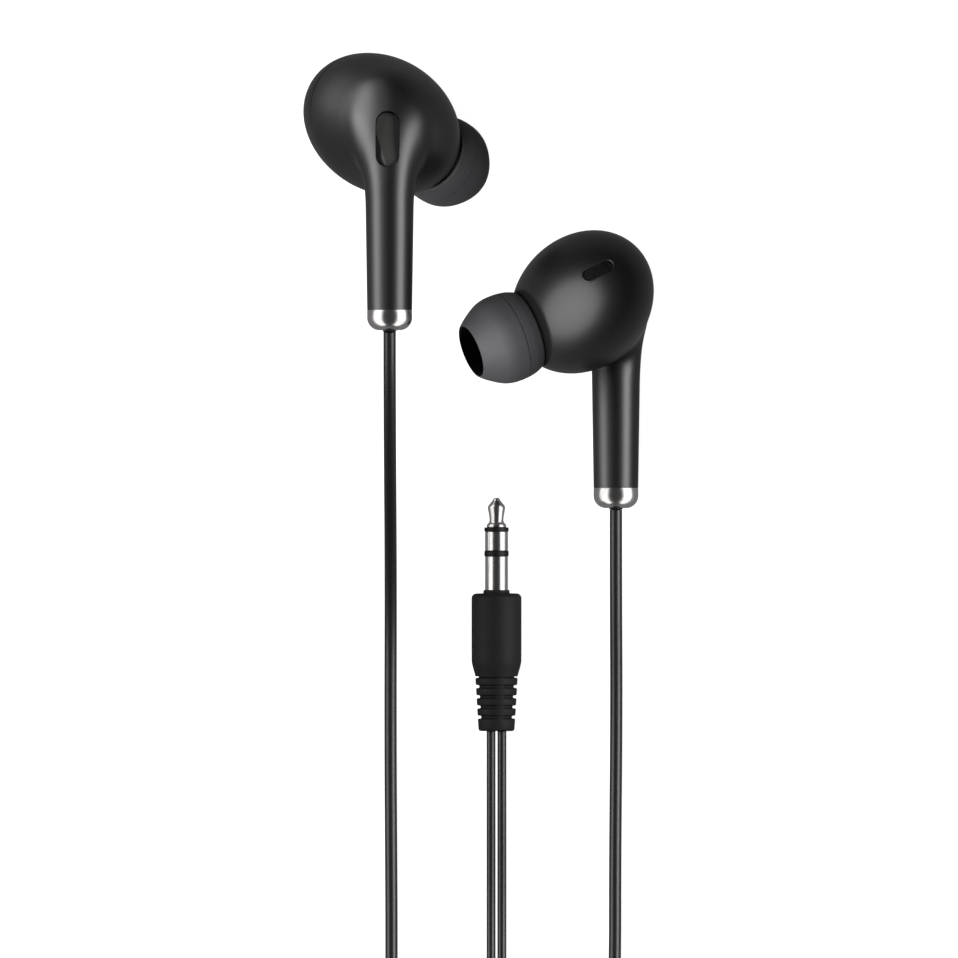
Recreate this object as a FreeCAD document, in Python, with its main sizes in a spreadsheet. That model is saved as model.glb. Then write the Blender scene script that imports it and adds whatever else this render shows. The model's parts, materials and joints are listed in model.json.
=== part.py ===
"""Wired earphones lying flat on a table, modelled in millimetres.

World frame: the table top is z = 0 and +Y points from the cords to the ear ends. Each earpiece is
modelled once in its own frame and placed twice. In an earpiece frame the origin is the end of the
metal cap on the stem's axis, +Y runs up the stem and +Z points out of the outer face. The nozzle
frame has +Z along the nozzle, from the plane where the ear tip's rim starts. The plug frame has +Z
from the end of the strain relief to the plug's tip.
"""

import math
import os

import FreeCAD, Part
import Sketcher
from FreeCAD import Placement, Rotation, Vector

doc = FreeCAD.newDocument("WiredEarphones")

SIZES = {
    # where the two earpieces and the plug lie
    "left_x": -12.82, "left_y": -7.13, "left_height": 24.07,
    "right_x": 19.98, "right_y": -32.83, "right_height": 3.5, "right_turn": 146.5,
    "plug_x": 2.62, "plug_y": -65.23, "plug_height": 3.65,
    # bulb: an ellipsoid hung behind the stem's axis
    "bulb_side": -1.2, "bulb_rise": 29.9, "bulb_depth": -10.8,
    "bulb_long": 12.1, "bulb_broad": 10.1, "bulb_narrow": 9.4, "wall": 0.9,
    "bulb_turn": 17.9, "bulb_dip": -28.5, "bulb_roll": -40.2, "parting_turn": 16.75,
    "ledge": -0.4, "roomy": 40.0, "fit_gap": 0.02,
    # stem, its blend into the bulb, and the inlaid slot
    "stem_foot": 2.95, "stem_foot_radius": 3.25, "stem_top_radius": 3.42, "stem_top": 24.5,
    "stem_bore": 2.55, "stem_bore_top": 21.5, "lead_bore": 1.4, "lead_bore_depth": 1.5,
    "lead_bore_reach": 12.0, "lead_bend_rise": 19.0, "lead_start": 5.0,
    "shoulder_rise": 28.0, "shoulder_depth": -6.0,
    "shoulder_wide": 5.4, "shoulder_tall": 8.4, "shoulder_deep": 8.3,
    "slot_side": -0.45, "slot_rise": 27.85, "slot_length": 8.4, "slot_width": 3.7,
    "slot_lean": 17.0, "slot_floor": 1.0, "inlay_thickness": 0.8, "inlay_gap": 0.05,
    "slot_cut": 8.0,
    # vent in the inner face
    "vent_side": -2.7, "vent_rise": 34.3, "vent_depth": 20.05, "vent_tilt": 25,
    "vent_length": 4.9, "vent_width": 1.9, "grille_thickness": 0.35, "grille_inset": 0.2,
    "vent_cut": 4.0, "vent_cut_depth": 3.0,
    # nozzle and ear tip
    "nozzle_side": 5.87, "nozzle_rise": 25.8, "nozzle_depth": -14.6,
    "nozzle_turn": -52.4, "nozzle_dip": -19.9,
    "nozzle_root": -2.5, "nozzle_end": 6.4, "nozzle_radius": 2.75, "nozzle_bore": 2.1,
    "nozzle_lip": 0.18, "nozzle_lip_length": 0.7, "nozzle_mesh_thickness": 0.3,
    "nozzle_mesh_inset": 0.4, "nozzle_cut_bottom": -10.0, "nozzle_cut_top": 20.0,
    "nozzle_room": 0.1,
    "tip_start": 0.0, "tip_end": 9.1, "tip_bore": 3.05, "tip_rim_radius": 5.94,
    "tip_widest_radius": 6.52, "tip_widest": 3.2, "tip_mouth_radius": 3.9, "tip_skin": 0.55,
    "tip_tube_radius": 3.6, "tip_tube_inset": 0.3, "tip_fold": 2.2, "tip_bulge": 0.14,
    "tip_fold_radius": 0.5, "tip_fold_rise": 2.1, "tip_shoulder": 0.75, "tip_shoulder_drop": 0.9,
    "tip_slope": 0.45, "tip_slope_rise": 2.7, "tip_mouth_inset": 0.4, "tip_mouth_round": 0.3,
    "tip_mouth_drop": 0.2, "tip_bevel": 0.5,
    # driver, on the nozzle's direction through the middle of the bulb
    "driver_radius": 6.0, "driver_back": 2.0, "driver_front": 1.6, "frame_wall": 0.4,
    "frame_floor": 0.5, "yoke_radius": 3.6, "yoke_bore": 3.0, "yoke_back": 2.7,
    "yoke_floor": 0.7, "magnet_radius": 2.1, "magnet_thickness": 1.3, "plate_radius": 2.2,
    "plate_thickness": 0.5, "coil_inner": 2.4, "coil_outer": 2.75, "coil_depth": 1.0,
    "cone_radius": 5.3, "cone_height": 0.55, "cone_thickness": 0.15, "cover_thickness": 0.35,
    "cover_hole": 0.6, "cover_hole_ring": 3.6, "board_length": 5.0, "board_width": 3.0,
    "board_thickness": 0.6, "board_entry": 1.6,
    # metal end cap and what passes through it
    "cap_radius": 3.25, "cap_flat": 1.25, "cap_round": 2.0, "cap_length": 2.95,
    "cap_hole": 1.15, "cap_floor": 1.2, "cap_wall": 1.1, "cap_spigot": 1.4,
    "cap_round_in": 0.55, "cap_round_drop": 1.35,
    "grommet_out": 0.25, "grommet_flange": 2.2, "grommet_flange_thickness": 0.8,
    "knot_length": 3.4, "knot_radius": 1.9, "knot_neck": 0.7, "lead_diameter": 1.0,
    # plug: stations measured from the end of the strain relief
    "plug_radius": 1.75, "relief_length": 8.1, "taper_length": 2.0, "body_top": 20.0,
    "sleeve_top": 25.4, "rear_ring_top": 26.2, "contact_ring_top": 29.0,
    "front_ring_top": 29.6, "plug_end": 33.9,
    "collar_radius": 2.15, "collar_length": 0.5, "sleeve_root_radius": 1.5,
    "lug_radius": 2.3, "lug_thickness": 0.8, "tail_step": 0.6,
    "front_tube": 0.75, "ring_tube": 1.05, "rear_tube": 1.3,
    "tip_flange_radius": 1.4, "tip_flange_length": 0.4, "tip_waist_radius": 1.02,
    "tip_waist": 1.1, "tip_ball_radius": 1.25, "tip_ball": 1.2, "tip_nose_radius": 0.35,
    "tip_nose_in": 0.25, "tip_nose_drop": 0.45,
    "body_radius": 3.63, "body_round": 0.7, "relief_top_radius": 3.1,
    "relief_end_radius": 2.62, "groove_depth": 0.5, "groove_width": 0.55,
    "groove_pitch": 1.48, "groove_first": 1.75, "mould_radius": 2.6, "mould_bottom": 9.0,
    "mould_seat": 1.2, "mould_room": 0.4, "groove_reach": 1.0, "quarter_arc": 0.29,
    "core_radius": 0.4, "core_bottom": 15.0,
    # cords
    "cord_diameter": 1.7, "strand_diameter": 1.3, "strand_spacing": 1.58,
    # hank, splitter and tie, all past the end of the straight cords
    "hank_x": 0.3, "hank_y": -133.2, "hank_base": 0.8, "hank_height": 5.4,
    "hank_run": 24.0, "hank_inner": 4.8, "hank_outer": 14.0,
    "splitter_x": -9.6, "splitter_length": 12.0, "splitter_width": 6.4,
    "splitter_thickness": 3.6, "splitter_round": 1.1,
    "splitter_offset": 8.0,
    "tie_width": 7.0, "tie_thickness": 0.7, "tie_offset": -7.5, "tie_room": 0.05,
}

sheet = doc.addObject("Spreadsheet::Sheet", "Sizes")
for row, (alias, size) in enumerate(SIZES.items(), start=1):
    sheet.set(f"A{row}", alias)
    sheet.set(f"B{row}", str(size))
    sheet.setAlias(f"B{row}", alias)
doc.recompute()

ORIGIN = Vector(0, 0, 0)
X_AXIS = Vector(1, 0, 0)
Y_AXIS = Vector(0, 1, 0)
Z_AXIS = Vector(0, 0, 1)
ALONG_Y = Placement(ORIGIN, Rotation(X_AXIS, -90))
final_parts = []


def cells(formula):
    """Turn words that are cell aliases into references to the Sizes sheet."""
    for alias in sorted(SIZES, key=len, reverse=True):
        marker = f"<{alias}>"
        formula = formula.replace(marker, f"Sizes.{alias}")
    return formula


def value(formula):
    """Work out a formula on the sheet's cells as a number of millimetres or degrees."""
    result = sheet.evalExpression(cells(formula))
    return float(getattr(result, "Value", result))


def direction(turn, rise):
    """Unit vector in an earpiece frame from a turn about +Y and a rise towards +Y, in degrees."""
    turn, rise = math.radians(turn), math.radians(rise)
    flat = math.cos(rise)
    return Vector(flat * math.cos(turn), math.sin(rise), flat * math.sin(turn))


def bind(thing, **formulas):
    """Bind properties of a document object to formulas on the sheet."""
    for name, formula in formulas.items():
        thing.setExpression(name, cells(formula))


def finish(thing, label, placement):
    """Name a finished sub-part and put it in place."""
    thing.Label = label
    thing.Placement = placement
    final_parts.append(thing)
    return thing


# ---------------------------------------------------------------- sketches and bodies

def plane_of(body, role):
    """The body's own origin plane with this role."""
    return next(item for item in body.Origin.OriginFeatures if item.Role == role)


def new_sketch(body, name, role):
    """An empty sketch on one of the body's origin planes."""
    sketch = body.newObject("Sketcher::SketchObject", name)
    sketch.AttachmentSupport = [(plane_of(body, role), "")]
    sketch.MapMode = "FlatFace"
    return sketch


def draw_outline(sketch, corners):
    """Draw a closed outline whose corners are pairs of formulas.

    A corner with a third and fourth formula is reached by an arc through that extra point.
    """
    points = [Vector(value(corner[0]), value(corner[1]), 0) for corner in corners]
    ends = []
    for index, corner in enumerate(corners):
        start, end = points[index - 1], points[index]
        if len(corner) == 4:
            ends.append(draw_arc(sketch, start, end, corner[2:]))
        else:
            ends.append((sketch.addGeometry(Part.LineSegment(start, end), False), 1, 2))
    for index, (edge, _, head) in enumerate(ends):
        following, tail, _ = ends[(index + 1) % len(ends)]
        sketch.addConstraint(Sketcher.Constraint("Coincident", edge, head, following, tail))
        pin(sketch, edge, head, corners[index][:2])


def draw_arc(sketch, start, end, through):
    """Draw an arc through a pinned helper point; returns its edge and which ends are which."""
    middle = Vector(value(through[0]), value(through[1]), 0)
    leftward = (middle - start).cross(end - middle).z > 0
    first, last = (start, end) if leftward else (end, start)
    edge = sketch.addGeometry(Part.Arc(first, middle, last), False)
    helper = sketch.addGeometry(Part.Point(middle), True)
    pin(sketch, helper, 1, through)
    sketch.addConstraint(Sketcher.Constraint("PointOnObject", helper, 1, edge))
    return (edge, 1, 2) if leftward else (edge, 2, 1)


def pin(sketch, edge, end, formulas):
    """Tie one point of a sketch to a pair of formulas, measured from the sketch's origin."""
    for kind, axis, formula in (("DistanceX", -2, formulas[0]), ("DistanceY", -1, formulas[1])):
        size = value(formula)
        if abs(size) < 1e-9:
            sketch.addConstraint(Sketcher.Constraint("PointOnObject", edge, end, axis))
        else:
            number = sketch.addConstraint(Sketcher.Constraint(kind, -1, 1, edge, end, size))
            sketch.setExpression(f"Constraints[{number}]", cells(formula))


def turned_body(name, corners):
    """A body of revolution about its Z axis from an outline of (radius, height) formulas."""
    body = doc.addObject("PartDesign::Body", name)
    sketch = new_sketch(body, name + "_outline", "XZ_Plane")
    draw_outline(sketch, corners)
    turn = body.newObject("PartDesign::Revolution", name + "_turn")
    turn.Profile = sketch
    turn.ReferenceAxis = (sketch, ["V_Axis"])
    turn.Angle = 360
    return body


def ring(inner, outer, bottom, top):
    """Outline of a plain ring or disc."""
    return [(inner, bottom), (outer, bottom), (outer, top), (inner, top)]


def padded_body(name, corners, length):
    """A body padded along its Z axis from an outline of (x, y) formulas."""
    body = doc.addObject("PartDesign::Body", name)
    sketch = new_sketch(body, name + "_outline", "XY_Plane")
    draw_outline(sketch, corners)
    pad = body.newObject("PartDesign::Pad", name + "_pad")
    pad.Profile = sketch
    bind(pad, Length=length)
    return body


def racetrack(half_run, radius, along="x"):
    """Outline of a slot shape with round ends, its long side along x or y."""
    ahead = [(f"{half_run}", f"-({radius})"),
             (f"{half_run}", f"{radius}", f"{half_run} + {radius}", "0"),
             (f"-({half_run})", f"{radius}"),
             (f"-({half_run})", f"-({radius})", f"-({half_run}) - ({radius})", "0")]
    if along == "x":
        return ahead
    return [tuple(corner[pair + 1 - side] for pair in range(0, len(corner), 2) for side in (0, 1))
            for corner in ahead]


# ---------------------------------------------------------------- primitives and booleans

def solid(kind, name, placement=None, **formulas):
    """A Part primitive with bound sizes."""
    item = doc.addObject(f"Part::{kind}", name)
    bind(item, **formulas)
    if placement:
        item.Placement = placement
    return item


def cut(name, base, tool):
    """Base with tool taken away."""
    result = doc.addObject("Part::Cut", name)
    result.Base = base
    result.Tool = tool
    return result


def common(name, base, tool):
    """Where base and tool overlap."""
    result = doc.addObject("Part::Common", name)
    result.Base = base
    result.Tool = tool
    return result


def fuse(name, shapes):
    """Several shapes joined into one."""
    result = doc.addObject("Part::MultiFuse", name)
    result.Shapes = shapes
    return result


# ---------------------------------------------------------------- earpiece frames

def bulb_frame():
    """Middle of the bulb, +Z along its longest axis and +X along its shortest."""
    forward = direction(SIZES["bulb_turn"], SIZES["bulb_dip"])
    side = forward.cross(Y_AXIS).normalize()
    upward = side.cross(forward)
    roll = math.radians(SIZES["bulb_roll"])
    narrow = side * math.cos(roll) + upward * math.sin(roll)
    broad = side * math.sin(roll) - upward * math.cos(roll)
    middle = Vector(SIZES["bulb_side"], SIZES["bulb_rise"], SIZES["bulb_depth"])
    return Placement(middle, Rotation(narrow, broad, forward, "ZXY"))


def nozzle_frame():
    """Plane where the ear tip's rim would meet the bulb, +Z along the nozzle."""
    start = Vector(SIZES["nozzle_side"], SIZES["nozzle_rise"], SIZES["nozzle_depth"])
    forward = direction(SIZES["nozzle_turn"], SIZES["nozzle_dip"])
    return Placement(start, Rotation(Z_AXIS, forward))


def driver_frame():
    """Middle of the bulb, +Z parallel to the nozzle."""
    return Placement(bulb_frame().Base, nozzle_frame().Rotation)


def vent_frame():
    """Outside of the vent in the inner face, +Z straight out of it."""
    turn = Rotation(Y_AXIS, 360 - SIZES["right_turn"])
    place = Vector(SIZES["vent_side"], SIZES["vent_rise"], SIZES["vent_depth"])
    return Placement(turn.multVec(place), turn * Rotation(Z_AXIS, SIZES["vent_tilt"]))


BULB = bulb_frame()
NOZZLE = nozzle_frame()
DRIVER = driver_frame()
VENT = vent_frame()


# ---------------------------------------------------------------- shells of one earpiece

def bulb_solid(name, inset):
    """The bulb, made smaller all round by a formula: an ellipsoid with a ledge for the ear tip."""
    egg = solid("Ellipsoid", name + "_egg", BULB, Radius1=f"<bulb_long> - {inset}",
                Radius2=f"<bulb_narrow> - {inset}", Radius3=f"<bulb_broad> - {inset}")
    keep = solid("Box", name + "_keep", Length="<roomy>", Width="<roomy>", Height="<roomy>")
    half = SIZES["roomy"] / 2
    bottom = SIZES["ledge"] - value(inset) - SIZES["roomy"]
    keep.Placement = NOZZLE * Placement(Vector(-half, -half, bottom), Rotation())
    return common(name, egg, keep)


def outer_half(name):
    """A block that covers everything on the outer side of the parting plane."""
    block = solid("Box", name, Length="2 * <roomy>", Width="2 * <roomy>", Height="<roomy>")
    corner = Vector(-SIZES["roomy"], -SIZES["roomy"], 0)
    turn = Placement(BULB.Base, Rotation(Y_AXIS, SIZES["parting_turn"]))
    block.Placement = turn * Placement(corner, Rotation())
    return block


def stem_solid(name):
    """The slightly tapered stem with a rounded top, and the shoulder that carries it."""
    cone = solid("Cone", name + "_cone", ALONG_Y, Radius1="<stem_foot_radius>",
                 Radius2="<stem_top_radius>", Height="<stem_top> - <stem_foot>")
    cone.Placement.Base = Vector(0, SIZES["stem_foot"], 0)
    crown = solid("Sphere", name + "_crown", Radius="<stem_top_radius>")
    crown.Placement.Base = Vector(0, SIZES["stem_top"], 0)
    shoulder = solid("Ellipsoid", name + "_shoulder", Radius1="<shoulder_deep>",
                     Radius2="<shoulder_wide>", Radius3="<shoulder_tall>")
    shoulder.Placement.Base = Vector(0, SIZES["shoulder_rise"], SIZES["shoulder_depth"])
    return [cone, crown, shoulder]


def stem_cavity(name):
    """The bore of the stem and the narrow passage for the leads into the bulb."""
    bore = solid("Cylinder", name + "_bore", ALONG_Y, Radius="<stem_bore>",
                 Height="<stem_bore_top>")
    passage = solid("Cylinder", name + "_passage", ALONG_Y, Radius="<lead_bore>",
                    Height="<bulb_rise>")
    passage.Placement.Base = Vector(0, 0, -SIZES["lead_bore_depth"])
    inward = solid("Cylinder", name + "_inward", Radius="<lead_bore>",
                   Height="<lead_bore_reach>")
    inward.Placement.Base = Vector(0, SIZES["bulb_rise"],
                                   -SIZES["lead_bore_reach"] - SIZES["lead_bore_depth"])
    return [bore, passage, inward]


def slot_block(name, gap, height):
    """The rounded slot as a block standing on a floor that leans back with the shell."""
    radius = f"(<slot_width> / 2 - {gap})"
    half_run = "(<slot_length> - <slot_width>) / 2"
    body = padded_body(name, racetrack(half_run, radius, "y"), height)
    middle = Vector(SIZES["slot_side"], SIZES["slot_rise"], SIZES["slot_floor"])
    body.Placement = Placement(middle, Rotation(X_AXIS, -SIZES["slot_lean"]))
    return body


def nozzle_cylinder(name, radius, bottom, top):
    """A cylinder along the nozzle between two stations, all three given as formulas."""
    item = solid("Cylinder", name, Radius=radius, Height=f"{top} - ({bottom})")
    item.Placement = NOZZLE * Placement(Vector(0, 0, value(bottom)), Rotation())
    return item


def make_outer_shell(side, place):
    """Outer half of the bulb in one piece with the stem."""
    name = side + "_outer_shell"
    beside_nozzle = nozzle_cylinder(name + "_nozzle", "<nozzle_radius> + <fit_gap>",
                                    "<nozzle_root> - <nozzle_room>", "<nozzle_end>")
    filled = fuse(name + "_filled", [bulb_solid(name + "_bulb", "0")] + stem_solid(name))
    hollow = fuse(name + "_hollow", [bulb_solid(name + "_cavity", "<wall>")] + stem_cavity(name)
                  + [slot_block(name + "_slot", "0", "<slot_cut>"), beside_nozzle])
    shell = cut(name + "_shell", filled, hollow)
    finish(common(name, shell, outer_half(name + "_side")), name, place)


def make_inner_shell(side, place):
    """Inner half of the bulb with the nozzle and the vent's slot."""
    name = side + "_inner_shell"
    tube = nozzle_cylinder(name + "_tube", "<nozzle_radius>", "<nozzle_root>", "<nozzle_end>")
    lip = nozzle_cylinder(name + "_lip", "<nozzle_radius> + <nozzle_lip>",
                          "<nozzle_end> - <nozzle_lip_length>", "<nozzle_end>")
    bulb = cut(name + "_half", bulb_solid(name + "_bulb", "0"), outer_half(name + "_side"))
    filled = fuse(name + "_filled", [bulb, tube, lip])
    bore = nozzle_cylinder(name + "_bore", "<nozzle_bore>", "<nozzle_cut_bottom>",
                           "<nozzle_cut_top>")
    vent = vent_block(name + "_vent", "0")
    hollow = fuse(name + "_hollow", [bulb_solid(name + "_cavity", "<wall>"), bore, vent])
    finish(cut(name, filled, hollow), name, place)


def vent_block(name, gap):
    """The vent's slot as a block that runs through the wall."""
    radius = f"(<vent_width> / 2 - {gap})"
    half_run = "(<vent_length> - <vent_width>) / 2"
    body = padded_body(name, racetrack(half_run, radius), "<vent_cut>")
    body.Placement = VENT * Placement(Vector(0, 0, -SIZES["vent_cut_depth"]), Rotation())
    return body


def make_vent_mesh(side, place):
    """Curved grille that fills the vent just below the surface."""
    name = side + "_vent_mesh"
    skin = cut(name + "_skin", bulb_solid(name + "_outside", "<grille_inset>"),
               bulb_solid(name + "_inside", "(<grille_inset> + <grille_thickness>)"))
    finish(common(name, skin, vent_block(name + "_slot", "<fit_gap>")), name, place)


def make_slot_inlay(side, place):
    """Flat strip at the bottom of the slot in the outer face."""
    name = side + "_slot_inlay"
    body = slot_block(name, "<inlay_gap>", "<inlay_thickness>")
    finish(body, name, place * body.Placement)


# ---------------------------------------------------------------- nozzle end

def make_nozzle_mesh(side, place):
    """Round mesh just inside the mouth of the nozzle."""
    name = side + "_nozzle_mesh"
    top = "<nozzle_end> - <nozzle_mesh_inset>"
    body = turned_body(name, ring("0", "<nozzle_bore>", f"{top} - <nozzle_mesh_thickness>", top))
    finish(body, name, place * NOZZLE)


def make_ear_tip(side, place):
    """Soft domed tip: a skirt folded back over an inner tube that grips the nozzle."""
    name = side + "_ear_tip"
    inside = "<tip_widest_radius> - <tip_skin>"
    half_way = "<tip_widest> / 2"
    tube_start = "<tip_start> + <tip_tube_inset>"
    outline = [
        ("<tip_bore>", tube_start), ("<tip_tube_radius>", tube_start),
        ("<tip_tube_radius>", "<tip_end> - <tip_fold>"),
        (inside, "<tip_widest>",
         f"{inside} - <tip_fold_radius>", "<tip_widest> + <tip_fold_rise>"),
        ("<tip_rim_radius> - <tip_skin>", "<tip_start>", f"{inside} - <tip_bulge>", half_way),
        ("<tip_rim_radius>", "<tip_start>"),
        ("<tip_widest_radius>", "<tip_widest>", "<tip_widest_radius> - <tip_bulge>", half_way),
        ("<tip_mouth_radius> + <tip_shoulder>", "<tip_end> - <tip_shoulder_drop>",
         "<tip_widest_radius> - <tip_slope>", "<tip_widest> + <tip_slope_rise>"),
        ("<tip_mouth_radius> - <tip_mouth_inset>", "<tip_end>",
         "<tip_mouth_radius> + <tip_mouth_round>", "<tip_end> - <tip_mouth_drop>"),
        ("<tip_bore>", "<tip_end> - <tip_bevel>"),
    ]
    finish(turned_body(name, outline), name, place * NOZZLE)


# ---------------------------------------------------------------- driver

def make_driver(side, place):
    """Dynamic driver: basket, magnet system, moving cone and perforated cover."""
    spot = place * DRIVER
    yoke_top = "-<frame_floor>"
    magnet_bottom = "-<yoke_back> + <yoke_floor>"
    magnet_top = f"{magnet_bottom} + <magnet_thickness>"
    pieces = {
        "_driver_basket": [
            ("<yoke_radius>", "-<driver_back>"), ("<driver_radius>", "-<driver_back>"),
            ("<driver_radius>", "<driver_front>"),
            ("<driver_radius> - <frame_wall>", "<driver_front>"),
            ("<driver_radius> - <frame_wall>", "-<driver_back> + <frame_floor>"),
            ("<yoke_radius>", "-<driver_back> + <frame_floor>")],
        "_driver_yoke": [
            ("0", "-<yoke_back>"), ("<yoke_radius>", "-<yoke_back>"), ("<yoke_radius>", yoke_top),
            ("<yoke_bore>", yoke_top), ("<yoke_bore>", magnet_bottom), ("0", magnet_bottom)],
        "_driver_magnet": ring("0", "<magnet_radius>", magnet_bottom, magnet_top),
        "_driver_top_plate": ring("0", "<plate_radius>", magnet_top,
                                  f"{magnet_top} + <plate_thickness>"),
        "_driver_cone": [
            ("0", "<cone_height>"), ("<coil_inner>", "<cone_height>"),
            ("<coil_inner>", "-<coil_depth>"), ("<coil_outer>", "-<coil_depth>"),
            ("<coil_outer>", "<cone_height>"), ("<cone_radius>", "<cone_height>"),
            ("<cone_radius>", "<cone_height> + <cone_thickness>"),
            ("0", "<cone_height> + <cone_thickness>")],
    }
    for suffix, outline in pieces.items():
        finish(turned_body(side + suffix, outline), side + suffix, spot)
    make_driver_cover(side, spot)
    make_terminal_board(side, spot)


def make_driver_cover(side, spot):
    """Front plate of the driver with a middle hole and six holes round it."""
    name = side + "_driver_cover"
    body = turned_body(name, ring("<cover_hole>", "<driver_radius>", "<driver_front>",
                                  "<driver_front> + <cover_thickness>"))
    sketch = new_sketch(body, name + "_hole_circle", "XY_Plane")
    circle = sketch.addGeometry(Part.Circle(Vector(SIZES["cover_hole_ring"], 0, 0), Z_AXIS,
                                            SIZES["cover_hole"]), False)
    number = sketch.addConstraint(Sketcher.Constraint("Radius", circle, SIZES["cover_hole"]))
    sketch.setExpression(f"Constraints[{number}]", cells("<cover_hole>"))
    hole = body.newObject("PartDesign::Pocket", name + "_hole")
    hole.Profile = sketch
    hole.Type = "ThroughAll"
    hole.Midplane = True
    pattern = body.newObject("PartDesign::PolarPattern", name + "_holes")
    pattern.Originals = [hole]
    pattern.Axis = (sketch, ["N_Axis"])
    pattern.Angle = 360
    pattern.Occurrences = 6
    body.Tip = pattern
    finish(body, name, spot)


def make_terminal_board(side, spot):
    """Small board behind the magnet where the leads are soldered."""
    name = side + "_terminal_board"
    half_x, half_y = "<board_length> / 2", "<board_width> / 2"
    body = padded_body(name, [(f"-{half_x}", f"-{half_y}"), (half_x, f"-{half_y}"),
                              (half_x, half_y), (f"-{half_x}", half_y)], "<board_thickness>")
    depth = -SIZES["yoke_back"] - SIZES["board_thickness"]
    finish(body, name, spot * Placement(Vector(0, 0, depth), Rotation()))


# ---------------------------------------------------------------- end of the stem

def make_end_cap(side, place):
    """Rounded metal cap with a spigot that fits the stem's bore."""
    name = side + "_end_cap"
    inside = "<cap_radius> - <cap_wall>"
    spigot = "<stem_bore> - <fit_gap>"
    spigot_end = "<cap_length> + <cap_spigot>"
    flange_top = "<cap_floor> + <grommet_flange_thickness>"
    outline = [
        ("<cap_hole>", "0"), ("<cap_flat>", "0"),
        ("<cap_radius>", "<cap_round>",
         "<cap_radius> - <cap_round_in>", "<cap_round> - <cap_round_drop>"),
        ("<cap_radius>", "<cap_length>"), (spigot, "<cap_length>"), (spigot, spigot_end),
        (inside, spigot_end), (inside, flange_top), ("<grommet_flange>", flange_top),
        ("<grommet_flange>", "<cap_floor>"), ("<cap_hole>", "<cap_floor>"),
    ]
    finish(turned_body(name, outline), name, place * ALONG_Y)


def make_grommet(side, place):
    """Rubber grommet moulded on the cord, held in the cap by its flange."""
    name = side + "_cord_grommet"
    outline = [
        ("0", "-<grommet_out>"), ("<cap_hole>", "-<grommet_out>"), ("<cap_hole>", "<cap_floor>"),
        ("<grommet_flange>", "<cap_floor>"),
        ("<grommet_flange>", "<cap_floor> + <grommet_flange_thickness>"),
        ("0", "<cap_floor> + <grommet_flange_thickness>"),
    ]
    finish(turned_body(name, outline), name, place * ALONG_Y)


def make_knot(side, place):
    """Knot that keeps the cord from pulling out of the cap."""
    name = side + "_cord_knot"
    bottom = "<cap_floor> + <grommet_flange_thickness>"
    outline = [
        ("0", bottom), ("<cord_diameter> / 2", bottom),
        ("<cord_diameter> / 2", f"{bottom} + <knot_neck>"),
        ("<cord_diameter> / 2", f"{bottom} + <knot_length>",
         "<knot_radius>", f"{bottom} + (<knot_neck> + <knot_length>) / 2"),
        ("0", f"{bottom} + <knot_length>"),
    ]
    finish(turned_body(name, outline), name, place * ALONG_Y)


# ---------------------------------------------------------------- cords as bent tubes

def rounded_route(points, diameter, label):
    """Straight runs through the points, joined by tangent arcs; prints the tightest bend."""
    edges = []
    last = points[0]
    tightest = math.inf
    for before, corner, after in zip(points, points[1:], points[2:]):
        incoming = (corner - before).normalize()
        outgoing = (after - corner).normalize()
        half_turn = incoming.getAngle(outgoing) / 2
        setback = 0.45 * min(corner.distanceToPoint(before), corner.distanceToPoint(after))
        tightest = min(tightest, setback / math.tan(half_turn))
        start = corner - incoming * setback
        end = corner + outgoing * setback
        inward = (outgoing - incoming).normalize()
        radius = setback / math.tan(half_turn)
        middle = corner + inward * (radius / math.cos(half_turn) - radius)
        edges.append(Part.LineSegment(last, start).toShape())
        edges.append(Part.Arc(start, middle, end).toShape())
        last = end
    edges.append(Part.LineSegment(last, points[-1]).toShape())
    print(f"{label}: tightest bend {tightest:.1f} mm, {tightest / diameter:.1f} diameters")
    return Part.Wire(edges)


def make_tube(label, points, diameter, placement=None):
    """A round cord along a route, as a shape set by code."""
    route = rounded_route(points, diameter, label)
    heading = points[1] - points[0]
    circle = Part.Wire(Part.Circle(points[0], heading, diameter / 2).toShape())
    tube = route.makePipeShell([circle], True, False)
    feature = doc.addObject("Part::Feature", label)
    feature.Shape = tube
    expected = math.pi * diameter ** 2 / 4 * route.Length
    print(f"{label}: length {route.Length:.1f} mm, volume {tube.Volume / expected:.3f} of expected")
    finish(feature, label, placement or Placement())


def make_inner_lead(side, place):
    """Insulated leads from the knot, up the stem and into the bulb behind the driver."""
    bottom = value("<cap_floor> + <grommet_flange_thickness> + <knot_length>")
    passage = -SIZES["lead_bore_depth"]
    board = DRIVER.multVec(Vector(0, 0, -SIZES["yoke_back"] - SIZES["board_thickness"]))
    entry = Vector(SIZES["board_thickness"], 0, SIZES["board_entry"])
    points = [Vector(0, bottom, 0), Vector(0, bottom + SIZES["lead_start"], 0),
              Vector(0, SIZES["lead_bend_rise"], passage), Vector(0, SIZES["bulb_rise"], passage),
              board + entry]
    make_tube(side + "_inner_lead", points, SIZES["lead_diameter"], place)


# ---------------------------------------------------------------- plug

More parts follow.
